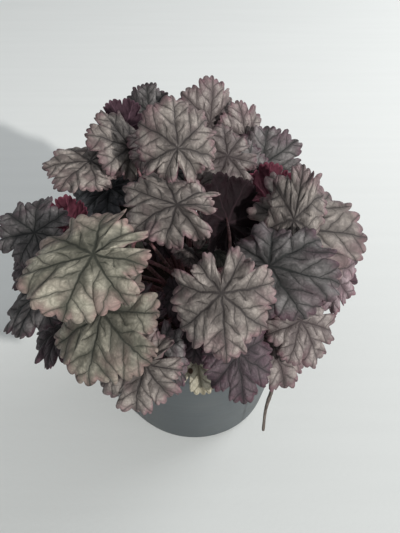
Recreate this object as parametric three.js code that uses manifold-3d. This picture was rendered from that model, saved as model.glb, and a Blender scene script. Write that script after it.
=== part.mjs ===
// A heuchera (coral bells) in a tapered nursery pot.
// Millimetres, +Z up, origin at the centre of the pot's underside, front of the plant towards -Y.
import * as THREE from 'three';
import Module from 'manifold-3d';

const wasm = await Module();
wasm.setup();

// ---------------------------------------------------------------- driving dimensions
const POT = {
  height: 125,
  baseRadius: 63,
  rimRadius: 85,
  wall: 1.8,
  floor: 2.5,
  chamfer: 2,
  lipHeight: 11,
  lipOut: 2.2,
  lipRound: 1,
  segments: 36,
};
const SOIL = { top: 108, edgeDrop: 3, edgeWidth: 6 };
const CROWN = { radius: 30, above: 13, slope: 0.75, below: 12, fan: 45, margin: 3.2, segments: 16 };
const GAP = 0.3;
const BLADE_THICKNESS = 0.9;
const PETIOLE = {
  rootRadius: 1.5,
  endRadius: 1.1,
  tipRadius: 0.75,
  sunk: 7,
  spacing: 5.2,
  sides: 5,
  spans: 5,
};
const YOUNG_SLIMNESS = 0.75;
const STALK = { radius: 2.1, taper: 0.45, sides: 6, spans: 9, holeSides: 8, holeEnd: 0.12 };
const UP = new THREE.Vector3(0, 0, 1);

// Lobes of a grown leaf and of a young one: bearing in degrees from the tip, reach as a share
// of the leaf's length, and the radius of the sinus on the side away from the tip.
const GROWN_LOBES = [
  { at: 0, reach: 1, sinus: 0.72 },
  { at: 50, reach: 0.95, sinus: 0.67 },
  { at: 99, reach: 0.84, sinus: 0.5 },
  { at: 143, reach: 0.62, sinus: 0.3 },
];
const YOUNG_LOBES = [
  { at: 0, reach: 1, sinus: 0.78 },
  { at: 56, reach: 0.93, sinus: 0.68 },
  { at: 122, reach: 0.78, sinus: 0.4 },
];
const LOBE_WANDER = 7;
const REACH_SPREAD = 0.12;
const SINUS_SPREAD = 0.24;
const LOBE_ROUNDNESS = 6;
// The notch where the petiole joins: its two edges and how near it comes to the junction.
const BASAL_BEARING = 172;
const BASAL_NOTCH = 0.12;
// The scalloped teeth: depth as a share of the radius, and pitch as a share of half a lobe.
const TOOTH = 0.07;
const TOOTH_PITCH = 0.66;
const TOOTH_ROUNDNESS = 0.8;

// The leaves from the innermost to the outermost: where petiole and blade meet (j), the
// compass bearing of the tip (head), its slope below level (dip), and the length from junction
// to tip (size). wide is the width of a narrow or twisted blade, and over marks a blade that is
// turned over and shows its underside.
const LEAVES = [
  // round the back and under the canopy
  { name: 'back_low_1', j: [78, 64, 150], head: 38, dip: 44, size: 45, tint: 'grey' },
  { name: 'back_low_2', j: [38, 102, 150], head: 70, dip: 46, size: 45, tint: 'silver' },
  { name: 'back_low_3', j: [-18, 108, 148], head: 100, dip: 44, size: 45, tint: 'grey' },
  { name: 'back_low_4', j: [-68, 80, 150], head: 132, dip: 44, size: 45, tint: 'silver' },
  { name: 'back_low_5', j: [-93, 14, 154], head: 168, dip: 44, size: 44, tint: 'purple' },
  { name: 'back_mid_1', j: [72, 44, 192], head: 34, dip: 26, size: 44, tint: 'silver' },
  { name: 'back_mid_2', j: [34, 80, 200], head: 66, dip: 30, size: 45, tint: 'grey' },
  { name: 'back_mid_3', j: [-18, 90, 200], head: 100, dip: 30, size: 45, tint: 'silver' },
  { name: 'back_mid_4', j: [-66, 64, 188], head: 138, dip: 30, size: 40, tint: 'blue' },
  { name: 'side_low_right', j: [96, 14, 154], head: 4, dip: 42, size: 45, tint: 'purple' },
  { name: 'inner_left', j: [-28, -28, 212], head: -125, dip: 40, size: 28, tint: 'purple' },
  { name: 'inner_front', j: [-8, -64, 180], head: -100, dip: 56, size: 26, tint: 'purple' },
  { name: 'back_high_1', j: [-14, 44, 210], head: 104, dip: 12, size: 43, tint: 'grey' },
  { name: 'back_high_2', j: [48, 30, 212], head: 30, dip: 14, size: 40, tint: 'purple' },
  { name: 'inner_top', j: [-42, -24, 216], head: 170, dip: 14, size: 34, tint: 'green' },
  { name: 'inner_left_back', j: [-60, -8, 204], head: 165, dip: 18, size: 32, tint: 'green' },
  { name: 'inner_right', j: [34, -40, 200], head: -30, dip: 24, size: 30, tint: 'purple' },
  { name: 'inner_low', j: [-40, -56, 172], head: -140, dip: 46, size: 30, tint: 'purple' },
  { name: 'young_1', j: [0, -46, 206], head: -125, dip: 40, size: 17, tint: 'pink', young: true },
  { name: 'young_2', j: [14, -48, 206], head: -40, dip: 40, size: 16, tint: 'green', young: true },
  { name: 'young_3', j: [8, -30, 212], head: 65, dip: 10, size: 18, tint: 'pink', young: true },
  // lower skirt seen from the front
  { name: 'low_left_back', j: [-92, -58, 140], head: 188, dip: 40, size: 34, tint: 'purple' },
  { name: 'low_left', j: [-105, -48, 164], head: 192, dip: 36, size: 39, tint: 'purple' },
  { name: 'old_front', j: [2, -90, 154], head: -80, dip: 54, size: 30, tint: 'olive' },
  { name: 'low_right', j: [54, -77, 146], head: -56, dip: 52, size: 34, tint: 'pink' },
  { name: 'right_hanging', j: [96, -40, 178], head: -88, dip: 60, size: 32, wide: 0.6, tint: 'pink' },
  { name: 'right_skirt', j: [72, -68, 160], head: -50, dip: 46, size: 32, tint: 'pink' },
  { name: 'under_front', j: [4, -88, 170], head: -110, dip: 56, size: 22, tint: 'purple' },
  { name: 'low_centre', j: [-21, -98, 164], head: -76, dip: 52, size: 32, wide: 0.6, tint: 'green' },
  { name: 'low_front_right', j: [28, -92, 158], head: -80, dip: 40, size: 31, tint: 'purple' },
  { name: 'low_front_left', j: [-30, -92, 150], head: -158, dip: 26, size: 36, tint: 'green' },
  { name: 'left_edge', j: [-110, -30, 184], head: 196, dip: 46, size: 30, tint: 'purple' },
  // back roof
  { name: 'roof_left_back', j: [-34, 72, 238], head: 100, dip: -40, size: 24, tint: 'grey' },
  { name: 'roof_left_edge', j: [-52, 60, 230], head: 130, dip: -39, size: 24, over: true, tint: 'purple' },
  { name: 'roof_back', j: [12, 36, 254], head: 88, dip: -44, size: 31, tint: 'pink' },
  { name: 'roof_back_right', j: [38, 26, 249], head: 106, dip: -40, size: 28, tint: 'pink' },
  { name: 'roof_right', j: [50, 18, 240], head: 24, dip: 20, size: 34, tint: 'purple' },
  { name: 'left_back', j: [-60, -8, 230], head: 172, dip: 12, size: 36, tint: 'blue' },
  { name: 'left_outer', j: [-70, 8, 238], head: 180, dip: 8, size: 40, wide: 0.6, tint: 'blue' },
  { name: 'left_curl', j: [-84, -28, 210], head: 119, dip: -42, size: 24, over: true, tint: 'purple' },
  { name: 'left_far', j: [-101, -25, 203], head: 152, dip: 0, size: 31, tint: 'grey' },
  // middle of the crown
  { name: 'right_veined', j: [44, -36, 216], head: 50, dip: -20, size: 28, tint: 'green' },
  { name: 'right_standing', j: [34, -8, 240], head: 60, dip: -34, size: 28, tint: 'grey' },
  { name: 'right_maroon', j: [54, -25, 234], head: 90, dip: -46, size: 28, over: true, tint: 'purple' },
  { name: 'top_left', j: [-44, 12, 246], head: 140, dip: -35, size: 32, tint: 'silver' },
  { name: 'top_pink', j: [-22, 14, 246], head: 200, dip: 20, size: 25, tint: 'pink' },
  { name: 'centre_pink', j: [23, 4, 246], head: 200, dip: 15, size: 33, tint: 'pink' },
  { name: 'centre_maroon', j: [23, -46, 232], head: 112, dip: -43, size: 34, over: true, tint: 'purple' },
  { name: 'right_outer', j: [67, -44, 223], head: -6, dip: 10, size: 51, tint: 'silver' },
  { name: 'right_upper', j: [64, -34, 218], head: 76, dip: -44, size: 42, wide: 0.5, tint: 'silver' },
  { name: 'right_big', j: [46, -66, 207], head: -9, dip: 4, size: 45, wide: 0.78, tint: 'grey' },
  // outermost
  { name: 'front_left_low', j: [-54, -82, 186], head: -106, dip: 50, size: 46, tint: 'silver' },
  { name: 'front_right', j: [17, -86, 207], head: -86, dip: 48, size: 39, tint: 'silver' },
  { name: 'centre_left', j: [-7, -46, 242], head: 168, dip: -6, size: 42, wide: 0.7, tint: 'silver' },
  { name: 'top_centre', j: [-9, -10, 255], head: 100, dip: -42, size: 34, wide: 0.84, tint: 'silver' },
  { name: 'front_left_big', j: [-53, -66, 218], head: 192, dip: 17, size: 48, wide: 0.74, tint: 'silver' },
];
// The usual blade, in shares of its length: the arch from junction to tip, the fall to both
// sides, the waved rim, the folds along the veins and the drooping edge.
const SHAPE = { arch: 0.18, cup: 0.14, wide: 0.88, waves: 0.035, pleat: 0.05, droop: 0.06 };
// How much more waved and folded the outermost leaf is than the innermost.
const OUTER_RUFFLE = 1;
const RIM_LIMIT = 1.15;

// The dry stalk from its foot in the soil, over the rim and down outside the pot.
const STALK_POINTS = [
  [46, -57, 100],
  [49, -61, 122],
  [55, -69, 134],
  [60, -77, 128],
  [58, -78, 100],
  [56, -72, 60],
  [57, -68, 22],
];

const TINTS = {
  silver: 0x9a9498,
  pink: 0xa08a92,
  grey: 0x7d7a80,
  green: 0x5d6058,
  purple: 0x5a424c,
  blue: 0x6a6f7c,
  olive: 0x8c9068,
};

// ---------------------------------------------------------------- helpers
function seededRandom(seed) {
  let state = seed >>> 0;
  return () => {
    state = (state + 0x6d2b79f5) >>> 0;
    let mixed = Math.imul(state ^ (state >>> 15), state | 1);
    mixed ^= mixed + Math.imul(mixed ^ (mixed >>> 7), mixed | 61);
    return ((mixed ^ (mixed >>> 14)) >>> 0) / 4294967296;
  };
}

const FIRST_SEED = 4001;
const SEED_STEP = 97;
const radians = (degrees) => (degrees * Math.PI) / 180;
const clamp = (value, low, high) => Math.min(Math.max(value, low), high);

function solid(points, triangles) {
  const mesh = new wasm.Mesh({
    numProp: 3,
    vertProperties: new Float32Array(points.flatMap((p) => [p.x, p.y, p.z])),
    triVerts: new Uint32Array(triangles.flat()),
  });
  return new wasm.Manifold(mesh);
}

function geometryOf(body) {
  const mesh = body.getMesh();
  const geometry = new THREE.BufferGeometry();
  geometry.setAttribute('position', new THREE.BufferAttribute(mesh.vertProperties, 3));
  geometry.setIndex(new THREE.BufferAttribute(mesh.triVerts, 1));
  return geometry;
}

// Triangles between two closed rings of points, each given by its bearings in rising order.
function zipRings(inner, outer) {
  const triangles = [];
  let i = 0;
  let o = 0;
  const rounds = (ring, k) => Math.floor(k / ring.bearings.length);
  const bearing = (ring, k) => ring.bearings[k % ring.bearings.length] + 360 * rounds(ring, k);
  const index = (ring, k) => ring.first + (k % ring.bearings.length);
  while (i < inner.bearings.length || o < outer.bearings.length) {
    const stepOuter =
      i === inner.bearings.length ||
      (o < outer.bearings.length && bearing(outer, o + 1) <= bearing(inner, i + 1));
    if (stepOuter) {
      triangles.push([index(inner, i), index(outer, o), index(outer, o + 1)]);
      o += 1;
    } else {
      triangles.push([index(inner, i), index(outer, o), index(inner, i + 1)]);
      i += 1;
    }
  }
  return triangles;
}

// A closed tube through the points with a radius at each, ended by flat caps.
function tube(points, radii, sides) {
  const count = points.length;
  const vertices = [];
  const triangles = [];
  let across = new THREE.Vector3(1, 0, 0);
  points.forEach((point, k) => {
    const ahead = points[Math.min(k + 1, count - 1)];
    const along = ahead.clone().sub(points[Math.max(k - 1, 0)]).normalize();
    if (k === 0 && Math.abs(along.x) > 0.8) across.set(0, 1, 0);
    across = across.clone().addScaledVector(along, -across.dot(along)).normalize();
    const third = along.clone().cross(across);
    for (let s = 0; s < sides; s += 1) {
      const turn = (2 * Math.PI * s) / sides;
      const vertex = point.clone().addScaledVector(across, radii[k] * Math.cos(turn));
      vertices.push(vertex.addScaledVector(third, radii[k] * Math.sin(turn)));
    }
  });
  for (let k = 0; k + 1 < count; k += 1) {
    for (let s = 0; s < sides; s += 1) {
      const next = (s + 1) % sides;
      const low = k * sides;
      const high = low + sides;
      triangles.push([low + s, low + next, high + next], [low + s, high + next, high + s]);
    }
  }
  const end = (count - 1) * sides;
  for (let s = 1; s + 1 < sides; s += 1) {
    triangles.push([0, s + 1, s], [end, end + s, end + s + 1]);
  }
  return solid(vertices, triangles);
}

// ---------------------------------------------------------------- leaf outline and relief
// Steps across a lobe, from sinus (-1) over its vein (0) to the next sinus.
const RIM_STEPS = [-1, -0.66, -0.33, 0, 0.33, 0.66];
const PLAIN_STEPS = [-1, -0.5, 0, 0.5];
const SPARE_STEPS = [-1, -0.5, 0.5];

function lobesOf(row, draw) {
  const side = row.young ? YOUNG_LOBES : GROWN_LOBES;
  const ordered = [...side.slice(1).reverse().map((lobe) => ({ ...lobe, at: -lobe.at })), ...side];
  const centres = ordered.map((lobe) => lobe.at + (draw() - 0.5) * LOBE_WANDER);
  const reaches = ordered.map((lobe) => lobe.reach * (1 + (draw() - 0.5) * REACH_SPREAD));
  const edges = [-BASAL_BEARING];
  const sinuses = [side[side.length - 1].sinus];
  for (let k = 0; k + 1 < ordered.length; k += 1) {
    const nearTip = Math.abs(ordered[k].at) < Math.abs(ordered[k + 1].at) ? ordered[k] : ordered[k + 1];
    edges.push((centres[k] + centres[k + 1]) / 2);
    sinuses.push(nearTip.sinus + (draw() - 0.5) * SINUS_SPREAD);
  }
  edges.push(BASAL_BEARING);
  sinuses.push(side[side.length - 1].sinus);
  return { centres, reaches, edges, sinuses };
}

// Where a bearing falls on its lobe: -1 and 1 are the sinuses, 0 is the lobe's own vein.
function lobeAt(lobes, bearing) {
  let k = 0;
  while (k + 1 < lobes.centres.length && bearing > lobes.edges[k + 1]) k += 1;
  const offset = bearing - lobes.centres[k];
  const half = offset < 0 ? lobes.centres[k] - lobes.edges[k] : lobes.edges[k + 1] - lobes.centres[k];
  const sinus = offset < 0 ? lobes.sinuses[k] : lobes.sinuses[k + 1];
  return { k, x: clamp(offset / half, -1, 1), sinus };
}

// Reach of the blade at a bearing from its junction, in leaf lengths, with teeth or without.
function outlineRadius(lobes, bearing, toothed) {
  const { k, x, sinus } = lobeAt(lobes, bearing);
  const beyond = Math.abs(bearing) - BASAL_BEARING;
  if (beyond > 0) return sinus + ((BASAL_NOTCH - sinus) * beyond) / (180 - BASAL_BEARING);
  const envelope = sinus + (lobes.reaches[k] - sinus) * (1 - Math.abs(x) ** LOBE_ROUNDNESS);
  if (!toothed) return envelope;
  const scallop = Math.abs(Math.cos((Math.PI * x) / TOOTH_PITCH)) ** TOOTH_ROUNDNESS;
  return envelope * (1 + TOOTH * (scallop - 0.5));
}

// Height of the blade over its own flat, in leaf lengths, at u along the axis and v across it.
function relief(leaf, u, v) {
  const bearing = (Math.atan2(v, u) * 180) / Math.PI;
  const share = Math.min(Math.hypot(u, v) / outlineRadius(leaf.lobes, bearing, false), RIM_LIMIT);
  const { x } = lobeAt(leaf.lobes, bearing);
  const { arch, cup, waves, pleat, droop } = leaf.shape;
  const turn = radians(bearing);
  const wave = Math.sin(2 * turn + leaf.phases[0]) + Math.sin(3 * turn + leaf.phases[1]);
  const body = arch * u * (1 - u) - cup * v * v;
  return body + share ** 2 * (waves * wave + pleat * (x * x - 1 / 3)) - droop * share ** 4;
}

const bladePoint = (leaf, u, v) => [u, v, relief(leaf, u, v)];

// A point of the blade's own frame, in leaf lengths, as a place in the plant.
function inPlace(leaf, [u, v, w]) {
  return leaf.j
    .clone()
    .addScaledVector(leaf.a, leaf.size * u)
    .addScaledVector(leaf.b, leaf.size * leaf.shape.wide * v)
    .addScaledVector(leaf.n, leaf.size * w);
}

// A leaf in its first place: a points from junction to tip, n out of the upper face, b sideways.
function growLeaf(row, index) {
  const draw = seededRandom(FIRST_SEED + SEED_STEP * index);
  const lobes = lobesOf(row, draw);
  const head = radians(row.head);
  const dip = radians(row.dip);
  const level = Math.cos(dip);
  const a = new THREE.Vector3(Math.cos(head) * level, Math.sin(head) * level, -Math.sin(dip));
  const ruffle = 1 + OUTER_RUFFLE * (index / LEAVES.length) ** 2;
  const ruffled = { waves: SHAPE.waves * ruffle, pleat: SHAPE.pleat * ruffle };
  const shape = { ...SHAPE, ...ruffled, ...row };
  const flip = row.over ? -1 : 1;
  const n = UP.clone().addScaledVector(a, -UP.dot(a)).setLength(1).multiplyScalar(flip);
  const leaf = {
    name: row.name,
    tint: row.tint,
    young: Boolean(row.young),
    size: row.size,
    flip,
    shape,
    lobes,
    phases: [draw() * 2 * Math.PI, draw() * 2 * Math.PI],
    j: new THREE.Vector3(...row.j),
    a,
    n,
    b: n.clone().cross(a),
  };
  leaf.samples = sampleBlade(leaf);
  return leaf;
}

// Bearings round the blade at the given steps of every lobe, the two by the notch on their own.
function lobeBearings(leaf, steps, basalSteps = steps) {
  const { centres, edges } = leaf.lobes;
  const bearings = centres.flatMap((centre, k) => {
    const basal = k === 0 || k + 1 === centres.length;
    const halves = (x) => (x < 0 ? centre - edges[k] : edges[k + 1] - centre);
    return (basal ? basalSteps : steps).map((x) => centre + x * halves(x));
  });
  return [...bearings, BASAL_BEARING, 180];
}

function flatPoint(leaf, bearing, share) {
  const reach = share * outlineRadius(leaf.lobes, bearing, true);
  return [reach * Math.cos(radians(bearing)), reach * Math.sin(radians(bearing))];
}

// Points all over a blade, by which it feels its neighbours.
function sampleBlade(leaf) {
  const rim = lobeBearings(leaf, RIM_STEPS).map((bearing) => flatPoint(leaf, bearing, 1));
  const middle = lobeBearings(leaf, PLAIN_STEPS).map((bearing) => flatPoint(leaf, bearing, 0.6));
  return [...rim, ...middle, [0.2, 0], [0, 0]].map(([u, v]) => bladePoint(leaf, u, v));
}

// ---------------------------------------------------------------- settling the leaves
const LEAF_GAP = 2.4;
const SETTLING_PASSES = 90;
const SETTLED = 0.05;
// The upper leaf of a pair gives way by this share of a push, the lower one by the rest.
const YIELD = 0.35;
// Leaves part towards the light, unless the blade is turned further from it than this.
const LIGHTWARD = new THREE.Vector3(0, -0.72, 0.69).normalize();
const LEAST_FACING = 0.35;
const EDGE_MARGIN = 1.04;
const NEAR = 24;
const SHIFT_SHARE = 0.7;
const PIVOT = [0.35, 0, 0];

// Signed height of a point over a blade, in millimetres, or null outside the blade.
function heightOver(leaf, point) {
  const q = point.clone().sub(leaf.j);
  const u = q.dot(leaf.a) / leaf.size;
  const v = q.dot(leaf.b) / (leaf.size * leaf.shape.wide);
  const bearing = (Math.atan2(v, u) * 180) / Math.PI;
  if (Math.hypot(u, v) > EDGE_MARGIN * outlineRadius(leaf.lobes, bearing, false)) return null;
  return q.dot(leaf.n) - leaf.size * relief(leaf, u, v);
}

// A push at one point of a leaf shifts the leaf and tilts it about its middle.
function nudge(leaf, at, move) {
  const middle = inPlace(leaf, PIVOT);
  const spin = at.clone().sub(middle).cross(move).multiplyScalar(SHIFT_SHARE / leaf.size ** 2);
  const arm = leaf.j.clone().sub(middle);
  leaf.j.addScaledVector(move, SHIFT_SHARE).add(spin.clone().cross(arm));
  leaf.a.add(spin.clone().cross(leaf.a)).normalize();
  leaf.n.add(spin.clone().cross(leaf.n));
  leaf.n.addScaledVector(leaf.a, -leaf.n.dot(leaf.a)).normalize();
  leaf.b.copy(leaf.n).cross(leaf.a);
}

// The point of one leaf that most needs to move to pass the other by the leaf gap.
function worstPoint(mover, blade, side) {
  let worst = { lack: 0 };
  mover.samples.forEach((sample) => {
    const point = inPlace(mover, sample);
    const height = heightOver(blade, point);
    if (height === null || Math.abs(height) > NEAR) return;
    const lack = LEAF_GAP - side * height;
    if (lack > worst.lack) worst = { lack, point };
  });
  return worst;
}

// The push that parts two leaves: towards the light, or square to a blade that turns away from it.
function parting(blade, lack) {
  const outward = blade.n.clone().multiplyScalar(blade.flip);
  const facing = outward.dot(LIGHTWARD);
  if (facing > LEAST_FACING) return LIGHTWARD.clone().multiplyScalar(lack / facing);
  return outward.multiplyScalar(lack);
}

function part(lower, upper) {
  const above = worstPoint(upper, lower, lower.flip);
  const below = worstPoint(lower, upper, -upper.flip);
  [[above, lower], [below, upper]].forEach(([worst, blade]) => {
    if (!worst.point) return;
    const push = parting(blade, worst.lack);
    nudge(upper, worst.point, push.clone().multiplyScalar(YIELD));
    nudge(lower, worst.point, push.clone().multiplyScalar(YIELD - 1));
  });
  return Math.max(above.lack, below.lack);
}

// Leaves that overlap are pressed apart, each later one to the outer side of each earlier one.
function settle(leaves) {
  for (let pass = 0; pass < SETTLING_PASSES; pass += 1) {
    let lack = 0;
    leaves.forEach((upper, high) => {
      leaves.slice(0, high).forEach((lower) => {
        if (lower.j.distanceTo(upper.j) > lower.size + upper.size) return;
        lack = Math.max(lack, part(lower, upper));
      });
    });
    if (lack < SETTLED) return;
  }
}

// ---------------------------------------------------------------- roots and petioles
const ROOT_PASSES = 200;
// The ways a petiole may run: how it swings in under the blade, how steeply it meets the blade,
// and how long it keeps its direction at the blade and at the root.
const SWINGS = [0, 20, -20, 40, -40, 60, -60, 80, -80, 105, -105, 130, -130];
const STEEPS = [40, 62, 18];
const REACHES = [0.35, 0.2, 0.5, 0.65];
const LAUNCHES = [0.4, 0.2, 0.65];
const ROUTE_STEPS = 64;
const FREE_ENOUGH = 3;
const NO_WAY = 0.5;
const FAR = 99;
const ATTACH = { along: 0.1, under: 0.35 };
const BLADE_REACH = 1.6;
const BLADE_EDGE = 1.08;
const NOTCH_SIDE = 152;
// Steps of a route that lie in the crown, and how far a neighbour's thickness comes.
const SUNK_STEPS = 6;
const FREE_STEPS = 8;
const NEIGHBOUR = 1.6;
const RIM_BAND = { inside: 10, outside: 8 };

// Places on the crown under each leaf, pushed apart until every petiole has its own.
function rootPlaces(leaves) {
  const most = CROWN.radius - CROWN.margin;
  const places = leaves.map((leaf) => {
    const out = Math.hypot(leaf.j.x, leaf.j.y);
    const lean = out / Math.hypot(out, leaf.j.z - SOIL.top);
    return new THREE.Vector2(leaf.j.x, leaf.j.y).multiplyScalar((most * lean) / Math.max(out, 1));
  });
  for (let pass = 0; pass < ROOT_PASSES; pass += 1) {
    places.forEach((place, i) => {
      places.slice(i + 1).forEach((other) => {
        const apart = other.clone().sub(place);
        const lack = PETIOLE.spacing - apart.length();
        if (lack <= 0) return;
        apart.setLength(lack / 2);
        other.add(apart);
        place.sub(apart);
      });
    });
    places.forEach((place) => place.clampLength(0, most));
  }
  return places;
}

function crownHeight(reach) {
  return SOIL.top + CROWN.above * (1 - CROWN.slope * (reach / CROWN.radius) ** 2);
}

// The sunk foot of a petiole and its rise, which fans out from a point deep in the soil.
function rootOf(place) {
  const top = new THREE.Vector3(place.x, place.y, crownHeight(place.length()));
  const rise = top.clone().sub(new THREE.Vector3(0, 0, SOIL.top - CROWN.fan)).normalize();
  return { foot: top.clone().addScaledVector(rise, -PETIOLE.sunk), rise };
}

function petioleCurve(leaf, root, { swing, steep, reach, launch }) {
  const swung = radians(swing);
  const lifted = radians(steep);
  const into = leaf.a
    .clone()
    .multiplyScalar(Math.cos(swung) * Math.cos(lifted))
    .addScaledVector(leaf.b, Math.sin(swung) * Math.cos(lifted))
    .addScaledVector(leaf.n, Math.sin(lifted));
  const end = inPlace(leaf, bladePoint(leaf, ATTACH.along, 0)).addScaledVector(leaf.n, -ATTACH.under);
  const span = end.distanceTo(root.foot);
  return new THREE.CubicBezierCurve3(
    root.foot,
    root.foot.clone().addScaledVector(root.rise, span * launch),
    end.clone().addScaledVector(into, -span * reach),
    end,
  );
}

function bladeDistance(leaf, point) {
  const q = point.clone().sub(leaf.j);
  if (q.length() > leaf.size * BLADE_REACH) return FAR;
  const u = q.dot(leaf.a) / leaf.size;
  const v = q.dot(leaf.b) / (leaf.size * leaf.shape.wide);
  const bearing = clamp((Math.atan2(v, u) * 180) / Math.PI, -NOTCH_SIDE, NOTCH_SIDE);
  const edge = outlineRadius(leaf.lobes, bearing, false) * BLADE_EDGE;
  const outside = Math.max(Math.hypot(u, v) - edge, 0) * leaf.size;
  return Math.hypot(outside, q.dot(leaf.n) - leaf.size * relief(leaf, u, v));
}

// The least room along a petiole's route, to the crown, the rim, the blades and other petioles.
function clearance(curve, self, leaves, others) {
  let least = FAR;
  for (let step = SUNK_STEPS; step <= ROUTE_STEPS; step += 1) {
    const point = curve.getPoint(step / ROUTE_STEPS);
    const reach = Math.hypot(point.x, point.y);
    if (step > FREE_STEPS) {
      least = Math.min(least, point.z - crownHeight(Math.min(reach, CROWN.radius)) - 1);
    }
    if (reach > POT.rimRadius - RIM_BAND.inside && reach < POT.rimRadius + RIM_BAND.outside) {
      least = Math.min(least, point.z - POT.height);
    }
    leaves.forEach((leaf) => {
      if (leaf !== self) least = Math.min(least, bladeDistance(leaf, point));
    });
    if (least < NO_WAY) return least;
    others.forEach((spot) => {
      least = Math.min(least, spot.distanceTo(point) - NEIGHBOUR);
    });
  }
  return least;
}

// Each petiole takes the first way that keeps it clear, or else the clearest.
function routePetioles(leaves) {
  const places = rootPlaces(leaves);
  const ways = SWINGS.flatMap((swing) =>
    STEEPS.flatMap((steep) =>
      REACHES.flatMap((reach) => LAUNCHES.map((launch) => ({ swing, steep, reach, launch }))),
    ),
  );
  const routed = [];
  return leaves.map((leaf, index) => {
    const root = rootOf(places[index]);
    let best = { free: -FAR };
    ways.forEach((way) => {
      if (best.free > FREE_ENOUGH) return;
      const curve = petioleCurve(leaf, root, way);
      const free = clearance(curve, leaf, leaves, routed);
      if (free > best.free) best = { free, curve };
    });
    routed.push(...best.curve.getPoints(ROUTE_STEPS).slice(SUNK_STEPS));
    return best.curve.getSpacedPoints(PETIOLE.spans);
  });
}

// ---------------------------------------------------------------- solids
const FINE_FROM = 46;
const SMALL_BELOW = 30;
const SLOPE_STEP = 0.03;

// Rings of a blade from its middle to its rim: the share of the reach, and the steps per lobe.
function bladeRings(leaf) {
  let rimSteps = RIM_STEPS;
  if (leaf.size < SMALL_BELOW) rimSteps = PLAIN_STEPS;
  if (leaf.young) rimSteps = SPARE_STEPS;
  const rim = { share: 1, steps: rimSteps, basalSteps: SPARE_STEPS };
  if (leaf.size < FINE_FROM) return [{ share: 0.5, steps: [-1] }, rim];
  return [{ share: 0.3, steps: [-1] }, { share: 0.66, steps: [-1, -0.33, 0.33] }, rim];
}

function bladeNormal(leaf, u, v) {
  const at = (du, dv) => inPlace(leaf, bladePoint(leaf, u + du, v + dv));
  const alongU = at(SLOPE_STEP, 0).sub(at(-SLOPE_STEP, 0));
  const alongV = at(0, SLOPE_STEP).sub(at(0, -SLOPE_STEP));
  return alongU.cross(alongV).normalize();
}

// A blade is two alike faces, half the thickness to either side, joined round the rim.
function bladeSolid(leaf) {
  const flats = [[0, 0]];
  const rings = bladeRings(leaf).map(({ share, steps, basalSteps }) => {
    const ring = { first: flats.length, bearings: lobeBearings(leaf, steps, basalSteps) };
    ring.bearings.forEach((bearing) => flats.push(flatPoint(leaf, bearing, share)));
    return ring;
  });
  const spokes = rings[0].bearings.length;
  const faces = rings[0].bearings.map((_, k) => [0, 1 + k, 1 + ((k + 1) % spokes)]);
  rings.slice(1).forEach((outer, k) => faces.push(...zipRings(rings[k], outer)));
  const side = (sign) =>
    flats.map(([u, v]) => {
      const middle = inPlace(leaf, bladePoint(leaf, u, v));
      return middle.addScaledVector(bladeNormal(leaf, u, v), (sign * BLADE_THICKNESS) / 2);
    });
  const under = flats.length;
  const triangles = faces.flatMap(([p, q, r]) => [[p, q, r], [under + p, under + r, under + q]]);
  const rim = rings[rings.length - 1];
  rim.bearings.forEach((_, k) => {
    const here = rim.first + k;
    const next = rim.first + ((k + 1) % rim.bearings.length);
    triangles.push([here, under + here, under + next], [here, under + next, next]);
  });
  return solid([...side(1), ...side(-1)], triangles);
}

function petioleSolid(leaf, points) {
  const slim = leaf.young ? YOUNG_SLIMNESS : 1;
  const radii = points.map((_, k) => {
    const share = k / PETIOLE.spans;
    return slim * (PETIOLE.rootRadius + (PETIOLE.endRadius - PETIOLE.rootRadius) * share);
  });
  radii[PETIOLE.spans] = slim * PETIOLE.tipRadius;
  return tube(points, radii, PETIOLE.sides);
}

// A body of revolution about the vertical axis, from its lowest point on the axis to its highest.
function lathe(profile, segments) {
  const vertices = [];
  const triangles = [];
  const rows = profile.map(([radius, z]) => {
    const first = vertices.length;
    const spots = radius === 0 ? 1 : segments;
    for (let s = 0; s < spots; s += 1) {
      const turn = (2 * Math.PI * s) / segments;
      vertices.push(new THREE.Vector3(radius * Math.cos(turn), radius * Math.sin(turn), z));
    }
    return { first, spots };
  });
  const corner = (row, s) => row.first + (row.spots === 1 ? 0 : s % segments);
  for (let k = 0; k + 1 < rows.length; k += 1) {
    for (let s = 0; s < segments; s += 1) {
      const [low, high] = [rows[k], rows[k + 1]];
      if (low.spots > 1) triangles.push([corner(low, s), corner(low, s + 1), corner(high, s)]);
      if (high.spots > 1) triangles.push([corner(low, s + 1), corner(high, s + 1), corner(high, s)]);
    }
  }
  return solid(vertices, triangles);
}

function wallRadius(z) {
  return POT.baseRadius + ((POT.rimRadius - POT.baseRadius) * z) / POT.height;
}

function potSolid() {
  const { height, wall, floor, chamfer, lipHeight, lipOut, lipRound, segments } = POT;
  const lipFoot = height - lipHeight;
  const outer = wallRadius(height) + lipOut;
  const inner = wallRadius(height) - wall;
  const profile = [
    [0, 0],
    [wallRadius(chamfer) - chamfer, 0],
    [wallRadius(chamfer), chamfer],
    [wallRadius(lipFoot), lipFoot],
    [wallRadius(lipFoot) + lipOut, lipFoot + lipRound],
    [outer, height - lipRound],
    [outer - lipRound, height],
    [inner + lipRound, height],
    [inner, height - lipRound],
    [wallRadius(floor) - wall, floor],
    [0, floor],
  ];
  return lathe(profile, segments);
}

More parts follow.
